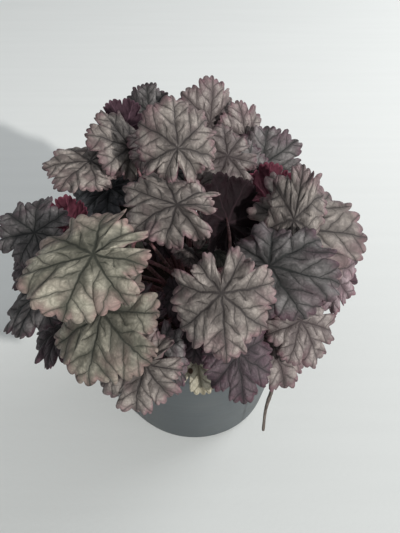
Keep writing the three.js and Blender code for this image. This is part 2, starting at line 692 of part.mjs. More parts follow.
// The plug of soil lies a gap inside the faceted wall and has a plain pit for the crown.
function soilSolid() {
  const flats = 1 / Math.cos(Math.PI / POT.segments);
  const inner = (z) => wallRadius(z) - POT.wall - GAP * flats;
  const bottom = POT.floor + GAP;
  const plug = [
    [0, bottom],
    [inner(bottom), bottom],
    [inner(SOIL.top - SOIL.edgeDrop), SOIL.top - SOIL.edgeDrop],
    [inner(SOIL.top) - SOIL.edgeWidth, SOIL.top],
    [0, SOIL.top],
  ];
  const pit = SOIL.top - CROWN.below - GAP;
  const mouth = CROWN.radius + GAP / Math.cos(Math.PI / CROWN.segments);
  const above = SOIL.top + 1;
  const hole = [[0, pit], [mouth, pit], [mouth, above], [0, above]];
  return lathe(plug, POT.segments).subtract(lathe(hole, CROWN.segments)).subtract(stalkHole());
}

function crownSolid(routes) {
  const { radius, below, segments } = CROWN;
  const bottom = SOIL.top - below;
  const shoulder = radius * 0.55;
  const profile = [
    [0, bottom],
    [radius - 3, bottom],
    [radius, bottom + 4],
    [radius, crownHeight(radius)],
    [shoulder, crownHeight(shoulder)],
    [0, crownHeight(0)],
  ];
  const holes = routes.map(petioleHole);
  return holes.reduce((body, hole) => body.subtract(hole), lathe(profile, segments));
}

// A blind hole round a petiole's first span, a gap wider and deeper than the petiole.
function petioleHole([foot, next]) {
  const rise = next.clone().sub(foot).normalize();
  const mouth = foot.clone().addScaledVector(rise, PETIOLE.sunk * 1.6);
  const radius = PETIOLE.rootRadius + (GAP + 0.1) / Math.cos(Math.PI / PETIOLE.sides);
  return tube([foot.clone().addScaledVector(rise, -GAP), mouth], [radius, radius], PETIOLE.sides);
}

const stalkRoute = () =>
  new THREE.CatmullRomCurve3(STALK_POINTS.map((point) => new THREE.Vector3(...point)));

function stalkSolid() {
  const points = stalkRoute().getSpacedPoints(STALK.spans);
  const radii = points.map((_, k) => STALK.radius * (1 - (STALK.taper * k) / STALK.spans));
  return tube(points, radii, STALK.sides);
}

function stalkHole() {
  const route = stalkRoute();
  const foot = route.getPoint(0);
  foot.z -= GAP;
  const radius = STALK.radius + 2 * GAP;
  return tube([foot, route.getPoint(STALK.holeEnd)], [radius, radius], STALK.holeSides);
}

// ---------------------------------------------------------------- the plant
const plant = new THREE.Group();

function addPart(name, body, color, roughness) {
  const material = new THREE.MeshStandardMaterial({ color, roughness, metalness: 0 });
  const mesh = new THREE.Mesh(geometryOf(body), material);
  mesh.name = name;
  plant.add(mesh);
}

const leaves = LEAVES.map(growLeaf);
settle(leaves);
const petioles = routePetioles(leaves);

addPart('pot', potSolid(), 0x4a4e55, 0.6);
addPart('soil', soilSolid(), 0x2b211b, 0.95);
addPart('crown', crownSolid(petioles), 0x4a3530, 0.85);
addPart('dry_stalk', stalkSolid(), 0x4b3a30, 0.8);
leaves.forEach((leaf, index) => {
  const body = bladeSolid(leaf).add(petioleSolid(leaf, petioles[index]));
  addPart(`leaf_${leaf.name}`, body, TINTS[leaf.tint], 0.6);
});

export default plant;
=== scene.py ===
"""A heuchera (coral bells) in a tapered nursery pot, dressed over its solids.

The leaves are grown, settled and rooted by the same rules and seeds as the solids, so each
fine leaf lies where its solid does. Lengths are in millimetres until a mesh is made.
"""

import math

import bpy
import numpy as np
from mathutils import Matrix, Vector, noise


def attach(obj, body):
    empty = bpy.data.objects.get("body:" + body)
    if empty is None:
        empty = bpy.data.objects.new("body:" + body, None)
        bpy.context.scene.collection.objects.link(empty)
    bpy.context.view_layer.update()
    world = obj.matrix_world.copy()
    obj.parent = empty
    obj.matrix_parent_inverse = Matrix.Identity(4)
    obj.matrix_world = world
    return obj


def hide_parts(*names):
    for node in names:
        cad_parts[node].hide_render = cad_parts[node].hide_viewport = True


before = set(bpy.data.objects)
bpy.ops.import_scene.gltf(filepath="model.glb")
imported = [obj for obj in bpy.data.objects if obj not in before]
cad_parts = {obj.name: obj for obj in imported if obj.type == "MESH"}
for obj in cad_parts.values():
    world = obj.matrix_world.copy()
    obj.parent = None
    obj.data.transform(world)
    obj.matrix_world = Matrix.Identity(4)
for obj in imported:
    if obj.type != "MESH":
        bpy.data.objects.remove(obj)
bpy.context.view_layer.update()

MM = 0.001

# ---- dimensions shared with the solids
POT_HEIGHT = 125
POT_BASE_RADIUS = 63
POT_RIM_RADIUS = 85
POT_WALL = 1.8
POT_FLOOR = 2.5
POT_CHAMFER = 2
LIP_HEIGHT = 11
LIP_OUT = 2.2

# The crown in the soil, and the petioles that fan out of it.
SOIL_TOP = 108
CROWN_RADIUS = 30
CROWN_ABOVE = 13
CROWN_SLOPE = 0.75
CROWN_FAN = 45
CROWN_MARGIN = 3.2
ROOT_RADIUS = 1.5
END_RADIUS = 1.1
YOUNG_SLIMNESS = 0.75
SUNK = 7
ROOT_SPACING = 5.2

# Lobes of a grown and of a young leaf: bearing from the tip, reach, and radius of the sinus
# on the side away from the tip, in leaf lengths.
GROWN_LOBES = [(0, 1, 0.72), (50, 0.95, 0.67), (99, 0.84, 0.5), (143, 0.62, 0.3)]
YOUNG_LOBES = [(0, 1, 0.78), (56, 0.93, 0.68), (122, 0.78, 0.4)]

# Outline: spread of the seeded draws in degrees and shares, and the form of lobes and teeth.
LOBE_WANDER = 7
REACH_SPREAD = 0.12
SINUS_SPREAD = 0.24
LOBE_ROUNDNESS = 6
BASAL_BEARING = 172
BASAL_NOTCH = 0.12
TOOTH = 0.07
TOOTH_PITCH = 0.66
TOOTH_ROUNDNESS = 0.8
WIDE = 0.88

# Relief in leaf lengths: arch, fall to the sides, waves, folds at the sinuses, drooping edge.
ARCH = 0.18
CUP = 0.14
WAVES = 0.035
PLEAT = 0.05
DROOP = 0.06
OUTER_RUFFLE = 1
RIM_LIMIT = 1.15
FIRST_SEED = 4001
SEED_STEP = 97

# name, junction of petiole and blade, bearing of the tip, its dip below level, length, tint,
# and what sets a leaf apart: narrower, turned over or young
LEAF_ROWS = [
    ("back_low_1", (78, 64, 150), 38, 44, 45, "grey"),
    ("back_low_2", (38, 102, 150), 70, 46, 45, "silver"),
    ("back_low_3", (-18, 108, 148), 100, 44, 45, "grey"),
    ("back_low_4", (-68, 80, 150), 132, 44, 45, "silver"),
    ("back_low_5", (-93, 14, 154), 168, 44, 44, "purple"),
    ("back_mid_1", (72, 44, 192), 34, 26, 44, "silver"),
    ("back_mid_2", (34, 80, 200), 66, 30, 45, "grey"),
    ("back_mid_3", (-18, 90, 200), 100, 30, 45, "silver"),
    ("back_mid_4", (-66, 64, 188), 138, 30, 40, "blue"),
    ("side_low_right", (96, 14, 154), 4, 42, 45, "purple"),
    ("inner_left", (-28, -28, 212), -125, 40, 28, "purple"),
    ("inner_front", (-8, -64, 180), -100, 56, 26, "purple"),
    ("back_high_1", (-14, 44, 210), 104, 12, 43, "grey"),
    ("back_high_2", (48, 30, 212), 30, 14, 40, "purple"),
    ("inner_top", (-42, -24, 216), 170, 14, 34, "green"),
    ("inner_left_back", (-60, -8, 204), 165, 18, 32, "green"),
    ("inner_right", (34, -40, 200), -30, 24, 30, "purple"),
    ("inner_low", (-40, -56, 172), -140, 46, 30, "purple"),
    ("young_1", (0, -46, 206), -125, 40, 17, "pink", {"young": True}),
    ("young_2", (14, -48, 206), -40, 40, 16, "green", {"young": True}),
    ("young_3", (8, -30, 212), 65, 10, 18, "pink", {"young": True}),
    ("low_left_back", (-92, -58, 140), 188, 40, 34, "purple"),
    ("low_left", (-105, -48, 164), 192, 36, 39, "grey"),
    ("old_front", (2, -90, 154), -80, 54, 30, "olive"),
    ("low_right", (54, -77, 146), -56, 52, 34, "pink"),
    ("right_hanging", (96, -40, 178), -88, 60, 32, "mauve", {"wide": 0.6}),
    ("right_skirt", (72, -68, 160), -50, 46, 32, "pink"),
    ("under_front", (4, -88, 170), -110, 56, 22, "purple"),
    ("low_centre", (-21, -98, 164), -76, 52, 32, "grey", {"wide": 0.6}),
    ("low_front_right", (28, -92, 158), -80, 40, 31, "purple"),
    ("low_front_left", (-30, -92, 150), -158, 26, 36, "silver"),
    ("left_edge", (-110, -30, 184), 196, 46, 30, "purple"),
    ("roof_left_back", (-34, 72, 238), 100, -40, 24, "grey"),
    ("roof_left_edge", (-52, 60, 230), 130, -39, 24, "maroon", {"over": True}),
    ("roof_back", (12, 36, 254), 88, -44, 31, "pink"),
    ("roof_back_right", (38, 26, 249), 106, -40, 28, "pink"),
    ("roof_right", (50, 18, 240), 24, 20, 34, "grey"),
    ("left_back", (-60, -8, 230), 172, 12, 36, "blue"),
    ("left_outer", (-70, 8, 238), 180, 8, 40, "silver", {"wide": 0.6}),
    ("left_curl", (-84, -28, 210), 119, -42, 24, "red", {"over": True}),
    ("left_far", (-101, -25, 203), 152, 0, 31, "grey"),
    ("right_veined", (44, -36, 216), 50, -20, 28, "green"),
    ("right_standing", (34, -8, 240), 60, -34, 28, "grey"),
    ("right_maroon", (54, -25, 234), 90, -46, 28, "red", {"over": True}),
    ("top_left", (-44, 12, 246), 140, -35, 32, "silver"),
    ("top_pink", (-22, 14, 246), 200, 20, 25, "pink"),
    ("centre_pink", (23, 4, 246), 200, 15, 33, "pink"),
    ("centre_maroon", (23, -46, 232), 112, -43, 34, "dark", {"over": True}),
    ("right_outer", (67, -44, 223), -6, 10, 51, "silver"),
    ("right_upper", (64, -34, 218), 76, -44, 42, "silver", {"wide": 0.5}),
    ("right_big", (46, -66, 207), -9, 4, 45, "grey", {"wide": 0.78}),
    ("front_left_low", (-54, -82, 186), -106, 50, 46, "cream"),
    ("front_right", (17, -86, 207), -86, 48, 39, "silver"),
    ("centre_left", (-7, -46, 242), 168, -6, 42, "silver", {"wide": 0.7}),
    ("top_centre", (-9, -10, 255), 100, -42, 34, "silver", {"wide": 0.84}),
    ("front_left_big", (-53, -66, 218), 192, 17, 48, "cream", {"wide": 0.74}),
]

# Settling: the gap that leaves keep, and how a push is shared and applied.
LEAF_GAP = 2.4
SETTLING_PASSES = 90
SETTLED = 0.05
YIELD = 0.35
LIGHTWARD = np.array((0, -0.72, 0.69)) / math.hypot(0.72, 0.69)
LEAST_FACING = 0.35
EDGE_MARGIN = 1.04
NEAR = 24
SHIFT_SHARE = 0.7
PIVOT = (0.35, 0, 0)
RIM_STEPS = (-1, -0.66, -0.33, 0, 0.33, 0.66)
MIDDLE_STEPS = (-1, -0.5, 0, 0.5)
MIDDLE_SHARE = 0.6

# Petioles: the ways one may run, and the room it needs.
ROOT_PASSES = 200
SWINGS = (0, 20, -20, 40, -40, 60, -60, 80, -80, 105, -105, 130, -130)
STEEPS = (40, 62, 18)
REACHES = (0.35, 0.2, 0.5, 0.65)
LAUNCHES = (0.4, 0.2, 0.65)
ROUTE_STEPS = 64
FREE_ENOUGH = 3
NO_WAY = 0.5
CROWN_GAP = 1
ATTACH_ALONG = 0.1
ATTACH_UNDER = 0.35
BLADE_REACH = 1.6
BLADE_EDGE = 1.08
NOTCH_SIDE = 152
SUNK_STEPS = 6
FREE_STEPS = 8
ROUTE_SHARES = np.arange(SUNK_STEPS, ROUTE_STEPS + 1) / ROUTE_STEPS
NEIGHBOUR = 1.6
RIM_INSIDE = 10
RIM_OUTSIDE = 8


# ---- helpers
def seeded_random(seed):
    """The same stream of numbers from 0 to 1 as the solids draw."""
    mask = 0xFFFFFFFF
    state = seed & mask

    def draw():
        nonlocal state
        state = (state + 0x6D2B79F5) & mask
        mixed = ((state ^ (state >> 15)) * (state | 1)) & mask
        mixed ^= (mixed + (mixed ^ (mixed >> 7)) * (mixed | 61)) & mask
        return (mixed ^ (mixed >> 14)) / 4294967296

    return draw


def cross(p, q):
    return np.array((p[1] * q[2] - p[2] * q[1], p[2] * q[0] - p[0] * q[2], p[0] * q[1] - p[1] * q[0]))


def unit(vector):
    return vector / math.sqrt(vector @ vector)


def polar(reach, turn):
    return np.stack((reach * np.cos(turn), reach * np.sin(turn)), axis=-1)


# ---- leaves
class Leaf:
    """One leaf: its outline and relief in leaf lengths, and its place in the plant.

    j is the junction of petiole and blade. a runs from it to the tip, b across, and n is the normal.
    """

    def __init__(self, index, name, junction, head, dip, size, tint, wide=WIDE, over=False, young=False):
        self.name = name
        self.tint = tint
        self.size = size
        self.wide = wide
        self.young = young
        self.flip = -1 if over else 1
        self.ruffle = 1 + OUTER_RUFFLE * (index / len(LEAF_ROWS)) ** 2
        draw = seeded_random(FIRST_SEED + SEED_STEP * index)
        self.shape_lobes(draw, YOUNG_LOBES if young else GROWN_LOBES)
        self.phases = [draw() * 2 * math.pi, draw() * 2 * math.pi]
        head, dip = math.radians(head), math.radians(dip)
        self.j = np.array(junction, float)
        self.a = np.array((math.cos(head) * math.cos(dip), math.sin(head) * math.cos(dip), -math.sin(dip)))
        self.n = unit(np.array((0, 0, 1.0)) - self.a[2] * self.a) * self.flip
        self.b = cross(self.n, self.a)
        rim = [self.flat_point(at, 1) for at in self.bearings(RIM_STEPS)]
        middle = [self.flat_point(at, MIDDLE_SHARE) for at in self.bearings(MIDDLE_STEPS)]
        flats = np.array([*rim, *middle, (0.2, 0), (0, 0)])
        self.samples = np.column_stack((flats, self.relief(flats[:, 0], flats[:, 1])))

    def shape_lobes(self, draw, side):
        """Bearings and reaches of the lobes, and bearings and radii of the sinuses beside them."""
        ordered = [(-at, reach, sinus) for at, reach, sinus in reversed(side[1:])] + side
        self.centres = [at + (draw() - 0.5) * LOBE_WANDER for at, _, _ in ordered]
        self.reaches = np.array([reach * (1 + (draw() - 0.5) * REACH_SPREAD) for _, reach, _ in ordered])
        self.edges = [-BASAL_BEARING]
        sinuses = [side[-1][2]]
        for k in range(len(ordered) - 1):
            near, far = ordered[k], ordered[k + 1]
            near_tip = near if abs(near[0]) < abs(far[0]) else far
            self.edges.append((self.centres[k] + self.centres[k + 1]) / 2)
            sinuses.append(near_tip[2] + (draw() - 0.5) * SINUS_SPREAD)
        self.edges.append(BASAL_BEARING)
        sinuses.append(side[-1][2])
        self.centres = np.array(self.centres)
        self.edges = np.array(self.edges)
        self.sinuses = np.array(sinuses)

    def lobe_at(self, bearing):
        """The lobe a bearing falls in, where on it (-1 and 1 are the sinuses), and the sinus radius."""
        k = np.searchsorted(self.edges[1:-1], bearing, side="left")
        offset = bearing - self.centres[k]
        left = offset < 0
        half = np.where(left, self.centres[k] - self.edges[k], self.edges[k + 1] - self.centres[k])
        return k, np.clip(offset / half, -1, 1), np.where(left, self.sinuses[k], self.sinuses[k + 1])

    def reach(self, bearing, toothed=False, roundness=LOBE_ROUNDNESS, fill=0, notch=BASAL_NOTCH):
        """Distance from the junction to the rim at a bearing.

        fill closes a share of each sinus, and notch is the radius of the basal notch.
        """
        k, x, sinus = self.lobe_at(bearing)
        sinus = sinus + fill * (self.reaches[k] - sinus)
        envelope = sinus + (self.reaches[k] - sinus) * (1 - np.abs(x) ** roundness)
        if toothed:
            scallop = np.abs(np.cos(math.pi * x / TOOTH_PITCH)) ** TOOTH_ROUNDNESS
            envelope = envelope * (1 + TOOTH * (scallop - 0.5))
        beyond = np.abs(bearing) - BASAL_BEARING
        basal = sinus + (notch - sinus) * beyond / (180 - BASAL_BEARING)
        return np.where(beyond > 0, basal, envelope)

    def relief(self, u, v):
        """Height of the blade over its own flat."""
        turn = np.arctan2(v, u)
        bearing = np.degrees(turn)
        share = np.minimum(np.hypot(u, v) / self.reach(bearing), RIM_LIMIT)
        x = self.lobe_at(bearing)[1]
        wave = np.sin(2 * turn + self.phases[0]) + np.sin(3 * turn + self.phases[1])
        body = ARCH * u * (1 - u) - CUP * v * v
        folds = self.ruffle * (WAVES * wave + PLEAT * (x * x - 1 / 3))
        return body + share**2 * folds - DROOP * share**4

    def bearings(self, steps):
        """Bearings at steps across each lobe, -1 and 1 at its sinuses, and two at the basal notch."""
        bearings = []
        for k, centre in enumerate(self.centres):
            for x in steps:
                half = centre - self.edges[k] if x < 0 else self.edges[k + 1] - centre
                bearings.append(centre + x * half)
        return [*bearings, BASAL_BEARING, 180]

    def flat_point(self, bearing, share):
        reach = share * float(self.reach(np.array(bearing), toothed=True))
        return reach * math.cos(math.radians(bearing)), reach * math.sin(math.radians(bearing))

    def place(self, points):
        """Points (u, v, w) of the blade's own frame as places in the plant."""
        axes = np.array((self.a * self.size, self.b * (self.size * self.wide), self.n * self.size))
        return self.j + np.asarray(points) @ axes

    def local(self, points):
        """The reverse of place, with w left in millimetres."""
        q = points - self.j
        return q @ self.a / self.size, q @ self.b / (self.size * self.wide), q @ self.n

    def nudge(self, at, move):
        """A push at one point shifts the leaf and tilts it about its middle."""
        middle = self.place(PIVOT)
        spin = cross(at - middle, move) * (SHIFT_SHARE / self.size**2)
        self.j = self.j + SHIFT_SHARE * move + cross(spin, self.j - middle)
        self.a = unit(self.a + cross(spin, self.a))
        tilted = self.n + cross(spin, self.n)
        self.n = unit(tilted - self.a * (tilted @ self.a))
        self.b = cross(self.n, self.a)


def worst_point(mover, blade, side):
    """How far a leaf is from passing a blade by the leaf gap, and the point that lacks most."""
    points = mover.place(mover.samples)
    u, v, w = blade.local(points)
    inside = np.hypot(u, v) <= EDGE_MARGIN * blade.reach(np.degrees(np.arctan2(v, u)))
    if not inside.any():
        return 0, None
    height = w - blade.size * blade.relief(u, v)
    lack = np.where(inside & (np.abs(height) <= NEAR), LEAF_GAP - side * height, 0)
    worst = int(np.argmax(lack))
    return (lack[worst], points[worst]) if lack[worst] > 0 else (0, None)


def parting(blade, lack):
    """The push that parts two leaves, towards the light unless the blade turns away from it."""
    outward = blade.n * blade.flip
    facing = outward @ LIGHTWARD
    return LIGHTWARD * (lack / facing) if facing > LEAST_FACING else outward * lack


def part_pair(lower, upper):
    above = worst_point(upper, lower, lower.flip)
    below = worst_point(lower, upper, -upper.flip)
    for (lack, point), blade in ((above, lower), (below, upper)):
        if point is not None:
            push = parting(blade, lack)
            upper.nudge(point, push * YIELD)
            lower.nudge(point, push * (YIELD - 1))
    return max(above[0], below[0])


def settle(leaves):
    """Leaves that overlap are pressed apart, each later one to the outer side of each earlier one."""
    for _ in range(SETTLING_PASSES):
        lack = 0
        for high, upper in enumerate(leaves):
            for lower in leaves[:high]:
                apart = lower.j - upper.j
                if apart @ apart <= (lower.size + upper.size) ** 2:
                    lack = max(lack, part_pair(lower, upper))
        if lack < SETTLED:
            return


# ---- petioles
def crown_height(reach):
    return SOIL_TOP + CROWN_ABOVE * (1 - CROWN_SLOPE * (reach / CROWN_RADIUS) ** 2)


def root_places(leaves):
    """Places on the crown under each leaf, pushed apart until every petiole has its own."""
    most = CROWN_RADIUS - CROWN_MARGIN
    places = []
    for leaf in leaves:
        out = math.hypot(leaf.j[0], leaf.j[1])
        lean = out / math.hypot(out, leaf.j[2] - SOIL_TOP)
        places.append(leaf.j[:2] * (most * lean / max(out, 1)))
    for _ in range(ROOT_PASSES):
        for i in range(len(places)):
            for k in range(i + 1, len(places)):
                apart = places[k] - places[i]
                distance = math.sqrt(apart @ apart)
                if distance < ROOT_SPACING:
                    push = apart / distance * ((ROOT_SPACING - distance) / 2)
                    places[k] = places[k] + push
                    places[i] = places[i] - push
        for i, place in enumerate(places):
            distance = math.sqrt(place @ place)
            if distance > most:
                places[i] = place * (most / distance)
    return places


def root_of(place):
    """The sunk foot of a petiole and its rise, which fans out from a point deep in the soil."""
    top = np.array((*place, crown_height(math.hypot(*place))))
    rise = unit(top - np.array((0, 0, SOIL_TOP - CROWN_FAN)))
    return top - rise * SUNK, rise


def bezier(corners, t):
    t = np.asarray(t)[:, None]
    s = 1 - t
    return s**3 * corners[0] + 3 * s**2 * t * corners[1] + 3 * s * t**2 * corners[2] + t**3 * corners[3]


def petiole_corners(leaf, foot, rise, way):
    """Control points of a petiole that comes into the blade's underside from a chosen side."""
    swing, steep, reach, launch = way
    swung, lifted = math.radians(swing), math.radians(steep)
    into = leaf.a * (math.cos(swung) * math.cos(lifted)) + leaf.b * (math.sin(swung) * math.cos(lifted))
    into = into + leaf.n * math.sin(lifted)
    height = float(leaf.relief(np.array(ATTACH_ALONG), np.array(0.0)))
    end = leaf.place((ATTACH_ALONG, 0, height)) - leaf.n * ATTACH_UNDER
    span = math.sqrt((end - foot) @ (end - foot))
    return np.array((foot, foot + rise * (span * launch), end - into * (span * reach), end))


def room_to_blade(leaf, points):
    u, v, w = leaf.local(points)
    bearing = np.clip(np.degrees(np.arctan2(v, u)), -NOTCH_SIDE, NOTCH_SIDE)
    outside = np.maximum(np.hypot(u, v) - leaf.reach(bearing) * BLADE_EDGE, 0) * leaf.size
    return np.hypot(outside, w - leaf.size * leaf.relief(u, v)).min()


def clearance(corners, this, leaves, routed):
    """The least room along a route, to the crown, the rim, the blades and other petioles."""
    points = bezier(corners, ROUTE_SHARES)
    reach = np.hypot(points[:, 0], points[:, 1])
    over_crown = points[:, 2] - crown_height(np.minimum(reach, CROWN_RADIUS)) - CROWN_GAP
    least = over_crown[FREE_STEPS + 1 - SUNK_STEPS :].min()
    by_rim = (reach > POT_RIM_RADIUS - RIM_INSIDE) & (reach < POT_RIM_RADIUS + RIM_OUTSIDE)
    if by_rim.any():
        least = min(least, points[by_rim, 2].min() - POT_HEIGHT)
    if least < NO_WAY:
        return least
    hubs = np.array([leaf.j for leaf in leaves])
    spans = BLADE_REACH * np.array([leaf.size for leaf in leaves])
    close = ((points[:, None, :] - hubs[None, :, :]) ** 2).sum(axis=2) <= spans**2
    for index in np.flatnonzero(close.any(axis=0)):
        if leaves[index] is not this:
            least = min(least, room_to_blade(leaves[index], points[close[:, index]]))
            if least < NO_WAY:
                return least
    for other in routed:
        apart = points[:, None, :] - other[None, :, :]
        least = min(least, math.sqrt((apart**2).sum(axis=2).min()) - NEIGHBOUR)
    return least


def route_petioles(leaves):
    """Each petiole takes the first way that keeps it clear, or else the clearest."""
    ways = [(s, t, r, c) for s in SWINGS for t in STEEPS for r in REACHES for c in LAUNCHES]
    routed = []
    routes = []
    for leaf, place in zip(leaves, root_places(leaves)):
        foot, rise = root_of(place)
        best, best_free = None, -math.inf
        for way in ways:
            corners = petiole_corners(leaf, foot, rise, way)
            free = clearance(corners, leaf, leaves, routed)
            if free > best_free:
                best, best_free = corners, free
            if best_free > FREE_ENOUGH:
                break
        routed.append(bezier(best, ROUTE_SHARES))
        routes.append(best)
    return routes


def grow_plant():
    leaves = [Leaf(index, *row[:6], **dict(*row[6:])) for index, row in enumerate(LEAF_ROWS)]
    settle(leaves)
    return leaves, route_petioles(leaves)


# ---- fine meshes
def make_piece(name, node, slot, vertices, faces, materials, face_materials=None, uvs=None):
    """A smooth-shaded mesh in place of a solid, riding on the plant's one body."""
    mesh = bpy.data.meshes.new(name)
    mesh.from_pydata((np.asarray(vertices) * MM).tolist(), [], faces)
    for material in materials:
        mesh.materials.append(material)
    mesh.polygons.foreach_set("use_smooth", [True] * len(faces))
    if face_materials is not None:
        mesh.polygons.foreach_set("material_index", face_materials)
    for layer_name, values in (uvs or {}).items():
        layer = mesh.uv_layers.new(name=layer_name)
        layer.data.foreach_set("uv", np.asarray(values, np.float32).ravel())
    mesh.update()
    piece = bpy.data.objects.new(name, mesh)
    bpy.context.scene.collection.objects.link(piece)
    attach(piece, "root")
    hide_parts(node)


def tube(points, radii, sides):
    """Vertices and faces of a closed tube along points, with a radius at each."""
    tangents = np.gradient(points, axis=0)
    tangents /= np.linalg.norm(tangents, axis=1)[:, None]
    across = cross(tangents[0], (0, 1, 0) if abs(tangents[0][0]) > 0.8 else (1, 0, 0))
    turns = np.arange(sides) * 2 * math.pi / sides
    vertices = []
    for point, tangent, radius in zip(points, tangents, radii):
        across = unit(across - tangent * (across @ tangent))
        third = cross(tangent, across)
        ring = np.outer(np.cos(turns), across) + np.outer(np.sin(turns), third)
        vertices.extend(point + ring * radius)
    rings = len(points)
    faces = []
    for low in range(0, (rings - 1) * sides, sides):
        for s in range(sides):
            lower = (low + s, low + (s + 1) % sides)
            faces.append((*lower, lower[1] + sides, lower[0] + sides))
    faces.append(tuple(reversed(range(sides))))
    faces.append(tuple((rings - 1) * sides + s for s in range(sides)))
    return np.array(vertices), faces


# Faces of a blade: columns to a lobe and rings, on big leaves and on the others.
BIG_FROM = 36
BIG_GRID = (30, 19)
SMALL_GRID = (20, 14)
BASAL_COLUMNS = (172, 176, 180, 184)
RING_CROWDING = 0.9

# The fine rim: fuller lobes, sinuses and basal notch partly closed, and scallops.
FULL_RIM = dict(roundness=8, fill=0.32, notch=0.29)
SCALLOP = 0.058
SCALLOP_PITCH = 0.4
SCALLOP_ROUNDNESS = 0.5
SCALLOP_MIDDLE = 0.6
SCALLOP_LIFT = 0.4

# Side veins: how far they lean to the tip, and how far apart they lie in leaf lengths.
VEIN_SLANT = 0.85
VEIN_SPACING = 0.26

# Thickness and fine relief of a full-sized blade in millimetres.
FULL_SIZE = 42
MIDDLE_THICKNESS = 0.64
RIM_THICKNESS = 0.3
QUILT = 1.45
GROOVE = 0.7
GROOVE_WIDTH = 1.3
GROOVE_FADE = 0.7
RAISED_VEIN = 0.35
RIM_CURL = 1

# Ruffles of the rim: height, share of the radius where they start, folds round the leaf.
RUFFLE = 2.2
RUFFLE_FROM = 0.45
RUFFLE_FOLDS = (9, 14)
FINER_FOLDS = 0.7

# Leaves with a neighbour or the pot at their rim, which keeps the solid's outline and is calm.
CALM_LEAVES = {"back_mid_1", "back_mid_2", "old_front"}
CALM = 0.25


class BladeGrid:
    """A polar grid over a blade: columns of bearings, rings from the junction to the rim."""

    def __init__(self, leaf):
        per_lobe, self.rings = BIG_GRID if leaf.size >= BIG_FROM else SMALL_GRID
        steps = [2 * step / per_lobe - 1 for step in range(per_lobe)]
        lobes = np.arange(len(leaf.centres))
        self.bearings = np.array([*leaf.bearings(steps)[:-2], *BASAL_COLUMNS])
        self.lobes = np.array([*lobes.repeat(per_lobe), lobes[-1], lobes[-1], 0, 0])
        self.spots = np.array([*np.tile(steps, len(lobes)), 1, 1, -1, -1])
        self.columns = len(self.bearings)
        wrapped = np.where(self.bearings > 180, self.bearings - 360, self.bearings)
        scallops = np.abs(np.cos(math.pi * self.spots / SCALLOP_PITCH)) ** SCALLOP_ROUNDNESS
        rim = leaf.reach(wrapped, **({} if leaf.name in CALM_LEAVES else FULL_RIM))
        self.reaches = rim * (1 + SCALLOP * (scallops - SCALLOP_MIDDLE))
        self.shares = (np.arange(self.rings + 1) / self.rings) ** RING_CROWDING

    def indices(self, ring, column):
        """Indices of vertices on one side of the blade; ring 0 is the junction alone."""
        return np.where(ring == 0, 0, 1 + (ring - 1) * self.columns + column % self.columns)

    def flats(self):
        """The flat place of each vertex, the junction first."""
        turns = np.radians(self.bearings)
        reach = self.shares[1:, None] * self.reaches[None, :]
        return np.vstack(((0, 0), polar(reach, turns).reshape(-1, 2)))

    def corner_maps(self, leaf, ring, column, face_column):
        """The flat, lobe and rim maps of a face corner, each in the lobe that its face lies on."""
        lobe = self.lobes[face_column]
        bearing = self.bearings[column % self.columns] + np.where(column == self.columns, 360, 0)
        bearing = np.where(face_column >= self.columns - 2, bearing - 360, bearing)
        share = self.shares[ring]
        reach = share * self.reaches[column % self.columns]
        turn, lean = np.radians(bearing), np.radians(bearing - leaf.centres[lobe])
        rim = np.stack((share, lobe / len(leaf.centres)), axis=-1)
        return polar(reach, turn), polar(reach, lean), rim


def blade_detail(leaf, grid):
    """Fine height in millimetres, vein strength and share of the radius at each vertex."""
    share = grid.shares[1:, None]
    x = grid.spots[None, :]
    reach = share * grid.reaches[None, :]
    lean = np.radians(grid.bearings - leaf.centres[grid.lobes])[None, :]
    along, across = reach * np.cos(lean), reach * np.sin(lean)

    # Pillows between side veins that alternate, flat at sinus, junction, rim and main vein.
    phase = (along - VEIN_SLANT * np.abs(across)) / VEIN_SPACING + 0.5 * (across > 0)
    room = (1 - x**6) * np.clip(share * 4, 0, 1) * (1 - share**6)
    quilt = QUILT * (np.abs(np.sin(math.pi * phase)) - 0.5) * room * np.clip(np.abs(across) * 12, 0, 1)

    # The main vein of each lobe, which starts beside the junction and fades out to the rim.
    vein = np.exp(-((across * leaf.size / GROOVE_WIDTH) ** 2)) * (1 - GROOVE_FADE * share)
    vein = vein * np.clip(share * 5 - 0.4, 0, 1)

    # Scallops lift a little, and the rim ruffles and rolls down.
    scallop = SCALLOP_LIFT * np.cos(2 * math.pi * x / SCALLOP_PITCH) * share**9
    turn = np.radians(grid.bearings)[None, :]
    few, many = RUFFLE_FOLDS
    folds = np.sin(few * turn + leaf.phases[0]) + FINER_FOLDS * np.sin(many * turn + leaf.phases[1])
    strength = RUFFLE * (CALM if leaf.name in CALM_LEAVES else 1)
    ruffle = strength * folds * np.clip((share - RUFFLE_FROM) * 1.8, 0, 1) ** 2
    detail = quilt - GROOVE * vein + scallop + ruffle - RIM_CURL * share**10
    detail = detail * min(1, leaf.size / FULL_SIZE)

    def flatten(values):
        return np.concatenate(((0,), np.broadcast_to(values, reach.shape).ravel()))

    return flatten(detail), flatten(vein), flatten(share)


